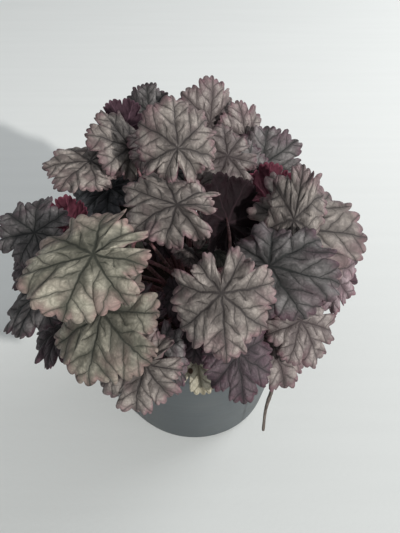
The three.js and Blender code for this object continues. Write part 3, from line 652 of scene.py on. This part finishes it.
def blade_mesh(leaf):
    """Vertices, faces, per-face material and the three corner maps of a fine blade."""
    grid = BladeGrid(leaf)
    u, v = grid.flats().T
    step = 0.02

    def surface(du, dv):
        return leaf.place(np.column_stack((u + du, v + dv, leaf.relief(u + du, v + dv))))

    normals = np.cross(surface(step, 0) - surface(-step, 0), surface(0, step) - surface(0, -step))
    normals /= np.linalg.norm(normals, axis=1)[:, None]
    detail, vein, share = blade_detail(leaf, grid)
    middle = surface(0, 0) + normals * detail[:, None]
    half = (MIDDLE_THICKNESS - (MIDDLE_THICKNESS - RIM_THICKNESS) * share**2) / 2
    top = middle + normals * half[:, None]
    under = middle - normals * (half + RAISED_VEIN * vein)[:, None]

    columns = np.arange(grid.columns)
    faces, maps = [], [[], [], []]

    def add_band(rings_at, columns_at, shifts):
        """A band of faces: for each corner its ring, its column and its side of the blade."""
        places = [grid.indices(r, c) + shift for r, c, shift in zip(rings_at, columns_at, shifts)]
        faces.extend(np.column_stack(places).tolist())
        corners = [grid.corner_maps(leaf, r, c, columns) for r, c in zip(rings_at, columns_at)]
        for layer, values in zip(maps, zip(*corners)):
            layer.append(np.stack(values, axis=1).reshape(-1, 2))

    count = len(top)
    inner = np.zeros_like(columns)
    for ring in range(grid.rings):
        near, far = inner + ring, inner + ring + 1
        rows, sides = [near, far, far, near], [columns, columns, columns + 1, columns + 1]
        if ring == 0:
            rows, sides = rows[:3], sides[:3]
        add_band(rows, sides, [0] * len(rows))
        add_band(rows[::-1], sides[::-1], [count] * len(rows))
    rim = inner + grid.rings
    add_band([rim] * 4, [columns, columns, columns + 1, columns + 1], [0, count, count, 0])
    face_materials = ([0] * grid.columns + [1] * grid.columns) * grid.rings + [1] * grid.columns
    return np.vstack((top, under)), faces, face_materials, [np.vstack(layer) for layer in maps]


PETIOLE_RINGS = 44
PETIOLE_SIDES = 10
PETIOLE_TIP = np.array((0.95, 0.75, 0.45))


def fine_leaf(leaf, corners):
    """Blade and petiole of one leaf as one piece."""
    vertices, faces, face_materials, maps = blade_mesh(leaf)
    slim = YOUNG_SLIMNESS if leaf.young else 1
    shares = np.linspace(0, 1, PETIOLE_RINGS)
    radii = slim * (ROOT_RADIUS + (END_RADIUS - ROOT_RADIUS) * shares)
    radii[-len(PETIOLE_TIP) :] = slim * PETIOLE_TIP
    stem, stem_faces = tube(bezier(corners, shares), radii, PETIOLE_SIDES)
    base = len(vertices)
    stem_faces = [tuple(base + i for i in face) for face in stem_faces]
    stem_corners = np.zeros((sum(len(face) for face in stem_faces), 2))
    make_piece(
        f"fine_{leaf.name}",
        f"leaf_{leaf.name}",
        "leaf",
        np.vstack((vertices, stem)),
        faces + stem_faces,
        [leaf_top(leaf), leaf_under(leaf), PETIOLE_SKIN],
        face_materials + [2] * len(stem_faces),
        {name: np.vstack((layer, stem_corners)) for name, layer in zip(("flat", "lobe", "rim"), maps)},
    )


# ---- materials
class Shader:
    """A procedural material, built by calls that each return a socket."""

    def __init__(self, name, roughness, specular=0.5):
        self.material = bpy.data.materials.new(name)
        self.material.use_nodes = True
        self.tree = self.material.node_tree
        self.surface = self.tree.nodes["Principled BSDF"]
        self.surface.inputs["Roughness"].default_value = roughness
        self.surface.inputs["Specular IOR Level"].default_value = specular

    def add(self, kind, inputs=None, output=0, **settings):
        node = self.tree.nodes.new("ShaderNode" + kind)
        for key, value in settings.items():
            setattr(node, key, value)
        for key, value in (inputs or {}).items():
            socket = node.inputs[key]
            if isinstance(value, bpy.types.NodeSocket):
                self.tree.links.new(value, socket)
            else:
                socket.default_value = value
        return node.outputs[output]

    def math(self, operation, a, b=0, c=0):
        return self.add("Math", {0: a, 1: b, 2: c}, operation=operation)

    def vector(self, operation, a, b):
        return self.add("VectorMath", {0: a, 1: b}, operation=operation)

    def uv(self, name):
        return self.add("UVMap", uv_map=name)

    def place(self):
        """The place in the plant, in metres."""
        return self.add("TexCoord", output="Object")

    def split(self, vector):
        node = self.add("SeparateXYZ", {0: vector}).node
        return node.outputs[0], node.outputs[1]

    def noise(self, vector, scale, detail=2, output="Fac"):
        inputs = {"Vector": vector, "Scale": scale, "Detail": detail}
        return self.add("TexNoise", inputs, output)

    def cell_edges(self, vector, scale):
        inputs = {"Vector": vector, "Scale": scale}
        return self.add("TexVoronoi", inputs, "Distance", feature="DISTANCE_TO_EDGE")

    def fade(self, value, start, end, low=0, high=1):
        """low before start, high after end, and a smooth step between them."""
        inputs = {"Value": value, "From Min": start, "From Max": end, "To Min": low, "To Max": high}
        return self.add("MapRange", inputs, interpolation_type="SMOOTHSTEP")

    def mottle(self, vector, scale, detail, start, end, low=0, high=1):
        return self.fade(self.noise(vector, scale, detail), start, end, low, high)

    def mix(self, factor, a, b):
        inputs = {0: factor, 6: a, 7: b}
        return self.add("Mix", inputs, output=2, data_type="RGBA")

    def finish(self, colour, height, depth, roughness=None):
        """Joins colour, bumps of a depth in millimetres, and uneven roughness if given."""
        self.tree.links.new(colour, self.surface.inputs["Base Color"])
        if roughness is not None:
            self.tree.links.new(roughness, self.surface.inputs["Roughness"])
        bump = self.add("Bump", {"Height": height, "Distance": depth * MM})
        self.tree.links.new(bump, self.surface.inputs["Normal"])
        return self.material


def rgb(red, green, blue):
    """An sRGB colour of 0 to 255 as the linear colour that a socket takes."""
    linear = [((c / 255 + 0.055) / 1.055) ** 2.4 if c > 10 else c / 255 / 12.92 for c in (red, green, blue)]
    return (*linear, 1)


def toned(colour, tone, lift=0):
    return (*(channel * tone + lift for channel in colour[:3]), 1)


# Tints of leaves: silvered panels, patches of thinner silver, the net along the veins, the rim.
TINTS = {
    "silver": ((161, 152, 145), (115, 107, 102), (52, 47, 46), (128, 100, 104)),
    "cream": ((162, 157, 142), (112, 109, 97), (48, 49, 42), (134, 110, 106)),
    "pink": ((164, 154, 149), (120, 109, 107), (62, 53, 53), (126, 96, 102)),
    "mauve": ((182, 164, 168), (156, 136, 142), (74, 62, 64), (146, 108, 118)),
    "grey": ((138, 133, 132), (98, 93, 93), (39, 40, 39), (92, 66, 76)),
    "green": ((112, 110, 98), (84, 83, 74), (32, 38, 30), (84, 60, 62)),
    "purple": ((98, 84, 89), (76, 62, 69), (36, 32, 34), (82, 50, 62)),
    "blue": ((114, 114, 117), (86, 87, 92), (34, 38, 40), (74, 62, 72)),
    # The olive tint is the old leaf's own pale cream, set paler still as painted light for a leaf in shade.
    "olive": ((196, 190, 172), (168, 163, 146), (98, 92, 76), (160, 152, 132)),
}

# Undersides: of turned leaves, whose upper side is grey, and of all others.
# The dark look is the maroon underside with painted shade on it.
UNDER_LOOKS = {"red": rgb(96, 46, 60), "dark": rgb(28, 11, 17), "maroon": rgb(80, 58, 68)}
PLAIN_UNDER = rgb(86, 54, 64)

# Veins and nets as fades over the distance from them: start, end, and strength at each.
PRIMARY_VEIN = (0.006, 0.042, 1, 0)
PRIMARY_HALO = (0.03, 0.24, 0.62, 0)
SECONDARY_VEIN = (0.004, 0.034, 0.76, 0)
SECONDARY_HALO = (0.01, 0.13, 0.5, 0)
NET = (0, 0.2, 0.38, 0)
FINE_NET = (0, 0.22, 0.2, 0)
NET_SCALE = 7
FINE_NET_SCALE = 17
DRIFT_SCALE = 4
DRIFT = (0.12, 0.12, 0)

# Fades over the share of the radius: thinner veins and a dark middle, and the tinted rim.
THINNING = (0, 1, 1, 0.3)
DARK_MIDDLE = (0.02, 0.38, 0.62, 0)
OUTER_PART = (0.3, 0.8)
RIM = (0.78, 1)

# Mottling: scale and detail of the noise, and the fade that it is put through.
PATCHES = (3.4, 3, 0.4, 0.62)
SPECKLE = (46, 2, 0.3, 0.75, 0, 0.35)
BLUSH = (1.7, 1, 0.5, 0.68, 0, 0.5)
RIM_PATCHES = (3.5, 1, 0.35, 0.6, 0.35, 1)
UNDER_PATCHES = (4, 3, 0.3, 0.7)
PETIOLE_PATCHES = (38, 3, 0.35, 0.65)
PETIOLE_HAIRS = (420, 2, 0.4, 0.7)
POT_DUST = (22, 4, 0.5, 0.75, 0, 0.5)
SOIL_FIBRES = (520, 2, 0.6, 0.7)
LEAF_BASES = (90, 3, 0.45, 0.7)

# Spread of the tones that are drawn, and leaves made paler or darker than their draw: painted light and
# painted shade, for how brightly each is lit.
TONE_SPREAD = 0.16
PAINTED_LIGHT_TONES = dict(
    left_outer=1.35, old_front=1.25, front_left_big=1.2, left_far=1.15, roof_right=1.12,
    centre_left=1.1, right_big=0.93, top_left=0.93, low_left=0.85, left_back=0.8,
)

# Marks on two leaves: their place on the flat blade, their radius there, and their colour.
SPOTS = {
    "old_front": ((0.5, -0.2, 0), 0.09, rgb(78, 56, 40)),
    "low_centre": ((0.02, 0, 0), 0.13, rgb(168, 60, 84)),
}


def vein_mask(s, leaf):
    """Darkness of all veins, that of the main veins, and the flat place and share of the radius."""
    own = (leaf.phases[0] * 3, leaf.phases[1] * 3, 0)
    flat = s.vector("ADD", s.uv("flat"), own)
    drift = s.noise(flat, DRIFT_SCALE, 3, "Color")
    drift = s.vector("MULTIPLY", s.vector("SUBTRACT", drift, (0.5, 0.5, 0.5)), DRIFT)
    along, across = s.split(s.vector("ADD", s.uv("lobe"), drift))
    aside = s.math("ABSOLUTE", across)
    share = s.split(s.uv("rim"))[0]
    thinning = s.fade(share, *THINNING)
    beside = s.math("DIVIDE", aside, thinning)
    primary = s.fade(beside, *PRIMARY_VEIN)
    halo = s.fade(beside, *PRIMARY_HALO)
    side = s.math("MULTIPLY", s.math("GREATER_THAN", across, 0), 0.5)
    phase = s.math("DIVIDE", s.math("MULTIPLY_ADD", aside, -VEIN_SLANT, along), VEIN_SPACING)
    turn = s.math("FRACT", s.math("ADD", phase, side))
    away = s.math("MULTIPLY", s.math("MINIMUM", turn, s.math("SUBTRACT", 1, turn)), VEIN_SPACING)
    away = s.math("DIVIDE", away, thinning)
    secondary = s.fade(away, *SECONDARY_VEIN)
    secondary_halo = s.fade(away, *SECONDARY_HALO)
    bent = s.vector("ADD", flat, drift)
    net = s.fade(s.cell_edges(bent, NET_SCALE), *NET)
    fine_net = s.fade(s.cell_edges(bent, FINE_NET_SCALE), *FINE_NET)
    middle = s.fade(share, *DARK_MIDDLE)
    lines = s.math("MAXIMUM", s.math("MAXIMUM", primary, secondary), s.math("MAXIMUM", net, fine_net))
    soft = s.math("MAXIMUM", s.math("MAXIMUM", halo, secondary_halo), middle)
    clear = s.math("MULTIPLY", s.math("SUBTRACT", 1, lines), s.math("SUBTRACT", 1, soft))
    return s.math("SUBTRACT", 1, clear), primary, flat, share


def leaf_top(leaf):
    """The upper surface: silvered panels between dark veins, with a tinted rim."""
    # The tone holds a drawn spread and the leaf's painted light or shade.
    tone = PAINTED_LIGHT_TONES.get(leaf.name, 1) * (1 + TONE_SPREAD * math.sin(leaf.phases[0]))
    tint = TINTS.get(leaf.tint, TINTS["grey"])
    silver, veil, net, rim = (toned(rgb(*colour), tone) for colour in tint)
    s = Shader(f"leaf_top_{leaf.name}", roughness=0.6, specular=0.35)
    dark, _, flat, share = vein_mask(s, leaf)
    panel = s.mix(s.mottle(flat, *PATCHES), silver, veil)
    panel = s.mix(s.mottle(flat, *SPECKLE), panel, veil)
    blush = s.math("MULTIPLY", s.mottle(flat, *BLUSH), s.fade(share, *OUTER_PART))
    panel = s.mix(blush, panel, rim)
    edge = s.math("MULTIPLY", s.fade(share, *RIM), s.mottle(flat, *RIM_PATCHES))
    panel = s.mix(edge, panel, rim)
    colour = s.mix(dark, panel, net)
    if leaf.name in SPOTS:
        centre, radius, stain = SPOTS[leaf.name]
        inputs = {0: s.uv("flat"), 1: centre}
        apart = s.add("VectorMath", inputs, "Value", operation="DISTANCE")
        colour = s.mix(s.fade(apart, 0.6 * radius, radius, 1, 0), colour, stain)
    height = s.math("SUBTRACT", s.noise(flat, 30), dark)
    return s.finish(colour, height, depth=0.45, roughness=s.fade(dark, 0, 1, 0.55, 0.7))


def leaf_under(leaf):
    """The underside: satin maroon, with paler raised veins."""
    s = Shader(f"leaf_under_{leaf.name}", roughness=0.7, specular=0.2)
    skin = UNDER_LOOKS.get(leaf.tint, PLAIN_UNDER)
    deep = toned(skin, 0.55)
    pale = toned(skin, 1.8, 0.008)
    dark, primary, flat, share = vein_mask(s, leaf)
    colour = s.mix(s.mottle(flat, *UNDER_PATCHES), skin, deep)
    colour = s.mix(s.math("MULTIPLY", dark, 0.4), colour, deep)
    colour = s.mix(s.math("MULTIPLY", primary, 0.7), colour, pale)
    colour = s.mix(s.fade(share, 0.9, 1, 0, 0.5), colour, pale)
    return s.finish(colour, s.math("ADD", dark, s.noise(flat, 40)), depth=0.4)


def petiole_skin():
    """Pink-red stalks, greener in patches, with fine pale hairs and a rough bump; their colours are set
    dark as painted shade for the shade under the leaves.
    """
    s = Shader("petiole_skin", roughness=0.55)
    place = s.place()
    # The stalk and hair colours are set dark: painted shade under the leaves.
    colour = s.mix(s.mottle(place, *PETIOLE_PATCHES), rgb(112, 62, 72), rgb(86, 68, 62))
    colour = s.mix(s.mottle(place, *PETIOLE_HAIRS), colour, rgb(142, 102, 104))
    return s.finish(colour, s.noise(place, 900), depth=0.25)


def pot_plastic():
    """Matte slate-grey moulded plastic with faint drag lines and dusty patches."""
    s = Shader("pot_plastic", roughness=0.5)
    place = s.place()
    rings = s.vector("MULTIPLY", place, (3, 3, 260))
    colour = s.mix(s.noise(rings, 1, 3), rgb(70, 77, 80), rgb(61, 68, 72))
    dust = s.mottle(place, *POT_DUST)
    colour = s.mix(dust, colour, rgb(104, 107, 107))
    height = s.math("ADD", s.noise(place, 1500), s.noise(rings, 1))
    return s.finish(colour, height, depth=0.12, roughness=s.fade(dust, 0, 0.5, 0.42, 0.6))


def soil_mix():
    """Dark bark and peat, lighter on the fibres."""
    s = Shader("soil_mix", roughness=0.95)
    place = s.place()
    colour = s.mix(s.noise(place, 160, 5), rgb(30, 24, 20), rgb(72, 56, 44))
    colour = s.mix(s.mottle(place, *SOIL_FIBRES), colour, rgb(112, 90, 70))
    return s.finish(colour, s.noise(place, 700, 4), depth=1.2)


def crown_bark():
    """Scaly brown crown with old leaf bases."""
    s = Shader("crown_bark", roughness=0.85)
    place = s.place()
    scales = s.fade(s.cell_edges(place, 260), 0, 0.25)
    colour = s.mix(scales, rgb(44, 30, 26), rgb(98, 68, 58))
    colour = s.mix(s.mottle(place, *LEAF_BASES), colour, rgb(122, 84, 76))
    return s.finish(colour, s.math("ADD", scales, s.noise(place, 500, 3)), depth=0.9)


def dry_fibre():
    """Dead brown stalk with pale streaks along it."""
    s = Shader("dry_fibre", roughness=0.8)
    place = s.place()
    streaks = s.noise(s.vector("MULTIPLY", place, (900, 900, 60)), 1, 3)
    colour = s.mix(s.fade(streaks, 0.35, 0.7), rgb(74, 64, 58), rgb(122, 110, 102))
    return s.finish(colour, streaks, depth=0.5)


def floor_board():
    """Pale board with faint broad streaks, and painted shade that greys it towards the near side."""
    s = Shader("floor_board", roughness=0.7)
    place = s.place()
    streaks = s.noise(s.vector("MULTIPLY", place, (4, 60, 1)), 1, 3)
    colour = s.mix(streaks, rgb(236, 238, 236), rgb(242, 244, 242))
    # Painted shade: the board is mixed towards grey on its near side.
    painted_front_shade = s.fade(s.split(place)[1], -0.4, 0.5, 0.42, 0)
    colour = s.mix(painted_front_shade, colour, rgb(176, 180, 178))
    return s.finish(colour, s.noise(place, 300, 3), depth=0.1)


PETIOLE_SKIN = petiole_skin()


# ---- pot, soil, crown and stalk
POT_TURN, SOIL_TURN, CROWN_TURN = 144, 120, 90
POT_ROUNDING = 1.2
ARC_STEPS = 4
WALL_MIDDLE = 60


def wall_radius(z):
    return POT_BASE_RADIUS + (POT_RIM_RADIUS - POT_BASE_RADIUS) * z / POT_HEIGHT


def lathe(profile, turn_steps, waver=None):
    """Vertices and faces of a body turned in steps; waver gives the shift of a point."""
    vertices, rows = [], []
    for radius, z in profile:
        spots = turn_steps if radius > 0 else 1
        rows.append((len(vertices), spots))
        for s in range(spots):
            turn = 2 * math.pi * s / turn_steps
            point = np.array((radius * math.cos(turn), radius * math.sin(turn), z))
            vertices.append(point if waver is None else point + waver(point))
    faces = []
    for (low, low_spots), (high, high_spots) in zip(rows, rows[1:]):
        for s in range(turn_steps):
            lower = (low + s % low_spots, low + (s + 1) % low_spots)
            upper = (high + (s + 1) % high_spots, high + s % high_spots)
            faces.append(tuple(dict.fromkeys(lower + upper)))
    return vertices, faces


def rounded(profile, radius):
    """The profile with each corner but the first and last rounded off by a short arc."""
    corners = [np.array(p, float) for p in profile]
    result = [tuple(profile[0])]
    for before, corner, after in zip(corners, corners[1:], corners[2:]):
        back, ahead = before - corner, after - corner
        reach = min(radius, np.linalg.norm(back) / 2.2, np.linalg.norm(ahead) / 2.2)
        start, end = corner + unit(back) * reach, corner + unit(ahead) * reach
        for t in np.linspace(0, 1, ARC_STEPS):
            result.append(tuple((1 - t) ** 2 * start + 2 * t * (1 - t) * corner + t**2 * end))
    result.append(tuple(profile[-1]))
    return result


def fine_pot():
    """The pot, from the middle of its underside up over the lip to its floor."""
    lip_foot = POT_HEIGHT - LIP_HEIGHT
    outer, inner = wall_radius(POT_HEIGHT) + LIP_OUT, wall_radius(POT_HEIGHT) - POT_WALL
    profile = [
        (0, 0),
        (wall_radius(POT_CHAMFER) - POT_CHAMFER, 0),
        (wall_radius(POT_CHAMFER), POT_CHAMFER),
        (wall_radius(lip_foot), lip_foot),
        (wall_radius(lip_foot) + LIP_OUT, lip_foot + 1),
        (outer, POT_HEIGHT - 1),
        (outer - 1, POT_HEIGHT),
        (inner + 1, POT_HEIGHT),
        (inner, POT_HEIGHT - 1),
        (wall_radius(WALL_MIDDLE) - POT_WALL, WALL_MIDDLE),
        (wall_radius(POT_FLOOR) - POT_WALL, POT_FLOOR),
        (0, POT_FLOOR),
    ]
    make_piece("fine_pot", "pot", "pot", *lathe(rounded(profile, POT_ROUNDING), POT_TURN), [pot_plastic()])


def rough(point, size, height, offset=0):
    """Bumps of a size and height, read at a place; an offset gives others."""
    at = Vector((point[0] / size, point[1] / size, point[2] / size + offset))
    return height * noise.fractal(at, 1.0, 2.0, 3)


# The soil: its foot, gaps to the wall, rolled-off edge and lumps.
SOIL_FOOT = 3
SOIL_SHOULDER = 98
SOIL_GAP = 1
SOIL_EDGE_GAP = 0.6
SOIL_ROLL = 3
LUMPY_DEPTH = 4.5
LUMP_SIZE = 9
LUMP_HEIGHT = 1.6

# Bark crumbs: the share of the top they lie on, their size, stretch and flatness.
CRUMBS = 420
CRUMB_AREA = (0.14, 0.86)
CRUMB_SIZE = (0.8, 2.6)
CRUMB_STRETCH = (0.5, 1.2)
CRUMB_FLATNESS = 0.5
CRUMB_CORNERS = [(1, 0, 0), (0, 1, 0), (-1, 0, 0), (0, -1, 0), (0, 0, 1), (0, 0, -1)]
CRUMB_FACES = [(0, 1, 4), (1, 2, 4), (2, 3, 4), (3, 0, 4), (1, 0, 5), (2, 1, 5), (3, 2, 5), (0, 3, 5)]


def fine_soil():
    """The plug of soil with a lumpy top, and bark crumbs lying on it."""
    edge = wall_radius(SOIL_TOP) - POT_WALL - SOIL_EDGE_GAP
    heights = (SOIL_FOOT, WALL_MIDDLE, SOIL_SHOULDER)
    side = [(wall_radius(z) - POT_WALL - SOIL_GAP, z) for z in heights]
    rings = np.linspace(1, 0, 34)[:-1]
    top = [(edge * share, SOIL_TOP - SOIL_ROLL * share**8) for share in rings]
    profile = [(0, SOIL_FOOT), *side, (edge - 1, SOIL_TOP - 4), *top, (0, SOIL_TOP)]

    def waver(point):
        lump = rough(point, LUMP_SIZE, LUMP_HEIGHT) - LUMP_HEIGHT / 2
        return np.array((0, 0, lump if point[2] > SOIL_TOP - LUMPY_DEPTH else 0))

    vertices, faces = lathe(profile, SOIL_TURN, waver)
    draw = np.random.default_rng(2451)
    for _ in range(CRUMBS):
        reach = math.sqrt(draw.uniform(*CRUMB_AREA)) * edge
        turn = draw.uniform(0, 2 * math.pi)
        scale = draw.uniform(*CRUMB_SIZE)
        middle = np.array((reach * math.cos(turn), reach * math.sin(turn), SOIL_TOP - 0.2))
        corners = np.array(CRUMB_CORNERS) * draw.uniform(*CRUMB_STRETCH, (6, 3))
        corners = corners * (scale, scale, scale * CRUMB_FLATNESS)
        spin = draw.uniform(0, math.pi)
        c, s = math.cos(spin), math.sin(spin)
        turned = np.array(((c, -s, 0), (s, c, 0), (0, 0, 1)))
        base = len(vertices)
        vertices.extend(middle + corners @ turned.T)
        faces += [tuple(base + i for i in face) for face in CRUMB_FACES]
    make_piece("fine_soil", "soil", "soil", vertices, faces, [soil_mix()])


# The crown: its depth, its inset from the solid, and its knobs.
CROWN_DEPTH = 11
CROWN_INSET = 0.5
KNOB_CENTRE = np.array((0, 0, SOIL_TOP - 30))
KNOBS = (4, 0.9, 7)
KNOB_SUNK = 0.4


def fine_crown():
    """A knobbly crown between the petioles."""
    foot = SOIL_TOP - CROWN_DEPTH
    widest = CROWN_RADIUS - CROWN_INSET
    profile = [(0, foot), (CROWN_RADIUS - 2, foot), (widest, SOIL_TOP - 4)]
    for reach in np.linspace(1, 0, 26) * widest:
        profile.append((reach, crown_height(reach) - 0.3))

    def waver(point):
        return unit(point - KNOB_CENTRE) * (rough(point, *KNOBS) - KNOB_SUNK)

    make_piece("fine_crown", "crown", "crown", *lathe(profile, CROWN_TURN, waver), [crown_bark()])


# The dry stalk: up out of the soil, over the rim and down outside the pot.
STALK_RADIUS = 2.1
STALK_TAPER = 0.45
STALK_RISE = [(46, -57, 100), (49, -61, 122), (55, -69, 134)]
STALK_FALL = [(60, -77, 128), (58, -78, 100), (56, -72, 60), (57, -68, 22)]
STALK_STEPS = 10
STALK_SIDES = 10


def between(p, q, t, start, end):
    """The place at t on the straight way from p at start to q at end."""
    return p * (end - t) / (end - start) + q * (t - start) / (end - start)


def centripetal(points, steps):
    """A centripetal Catmull-Rom curve through the points, with steps from each to the next."""
    points = [np.array(p, float) for p in points]
    points = [2 * points[0] - points[1], *points, 2 * points[-1] - points[-2]]
    result = []
    for p0, p1, p2, p3 in zip(points, points[1:], points[2:], points[3:]):
        t0 = 0
        t1 = t0 + np.linalg.norm(p1 - p0) ** 0.5
        t2 = t1 + np.linalg.norm(p2 - p1) ** 0.5
        t3 = t2 + np.linalg.norm(p3 - p2) ** 0.5
        for t in np.linspace(t1, t2, steps, endpoint=False):
            middle = between(p1, p2, t, t1, t2)
            before = between(between(p0, p1, t, t0, t1), middle, t, t0, t2)
            after = between(middle, between(p2, p3, t, t2, t3), t, t1, t3)
            result.append(between(before, after, t, t1, t2))
    return np.array([*result, points[-2]])


def fine_stalk():
    """A shrivelled stalk: its width wanders, and it is pinched here and there."""
    points = centripetal(STALK_RISE + STALK_FALL, STALK_STEPS)
    shares = np.linspace(0, 1, len(points))
    wander = np.array([1 + rough((share * 90, 0, 0), 6, 0.35) for share in shares])
    radii = STALK_RADIUS * (1 - STALK_TAPER * shares) * wander
    make_piece("fine_stalk", "dry_stalk", "stalk", *tube(points, radii, STALK_SIDES), [dry_fibre()])


# ---- floor, light and camera
FLOOR_SIZE = 6
CAMERA_LENS = 40.5
CAMERA_PLACE = (0.0047, -0.331, 0.464)
CAMERA_TILT = 46
SKY_COLOUR = (0.93, 0.97, 1.0, 1.0)
SKY_STRENGTH = 0.34
# Lamps: name, place, what each points at, size, power and colour.
LAMPS = [
    ("key", (2.15, -2.6, 2.1), (0, 0, 0.15), 0.14, 124, (1.0, 0.985, 0.96)),
    ("back", (1.5, 0.9, 1.1), (0, 0.1, 0.1), 1.2, 17, (0.98, 0.99, 1.0)),
]


def stage():
    bpy.ops.mesh.primitive_plane_add(size=FLOOR_SIZE, location=(0, 0, 0))
    floor = bpy.context.object
    floor.name = "floor"
    floor.data.materials.append(floor_board())


def area_light(name, place, target, size, power, colour):
    light = bpy.data.lights.new(name, "AREA")
    light.shape = "DISK"
    light.size = size
    light.energy = power
    light.color = colour
    lamp = bpy.data.objects.new(name, light)
    lamp.location = place
    lamp.rotation_euler = (Vector(target) - Vector(place)).to_track_quat("-Z", "Y").to_euler()
    bpy.context.scene.collection.objects.link(lamp)


def lighting():
    bpy.context.scene.view_settings.view_transform = "Standard"
    world = bpy.data.worlds.new("studio")
    bpy.context.scene.world = world
    world.use_nodes = True
    background = world.node_tree.nodes["Background"]
    background.inputs["Color"].default_value = SKY_COLOUR
    background.inputs["Strength"].default_value = SKY_STRENGTH
    for lamp in LAMPS:
        area_light(*lamp)


def camera():
    data = bpy.data.cameras.new("camera")
    data.lens = CAMERA_LENS
    view = bpy.data.objects.new("camera", data)
    view.location = CAMERA_PLACE
    view.rotation_euler = (math.radians(CAMERA_TILT), 0, 0)
    bpy.context.scene.collection.objects.link(view)
    bpy.context.scene.camera = view


# ---- the plant
camera()
lighting()
stage()
fine_pot()
fine_soil()
fine_crown()
fine_stalk()
for leaf, corners in zip(*grow_plant()):
    fine_leaf(leaf, corners)
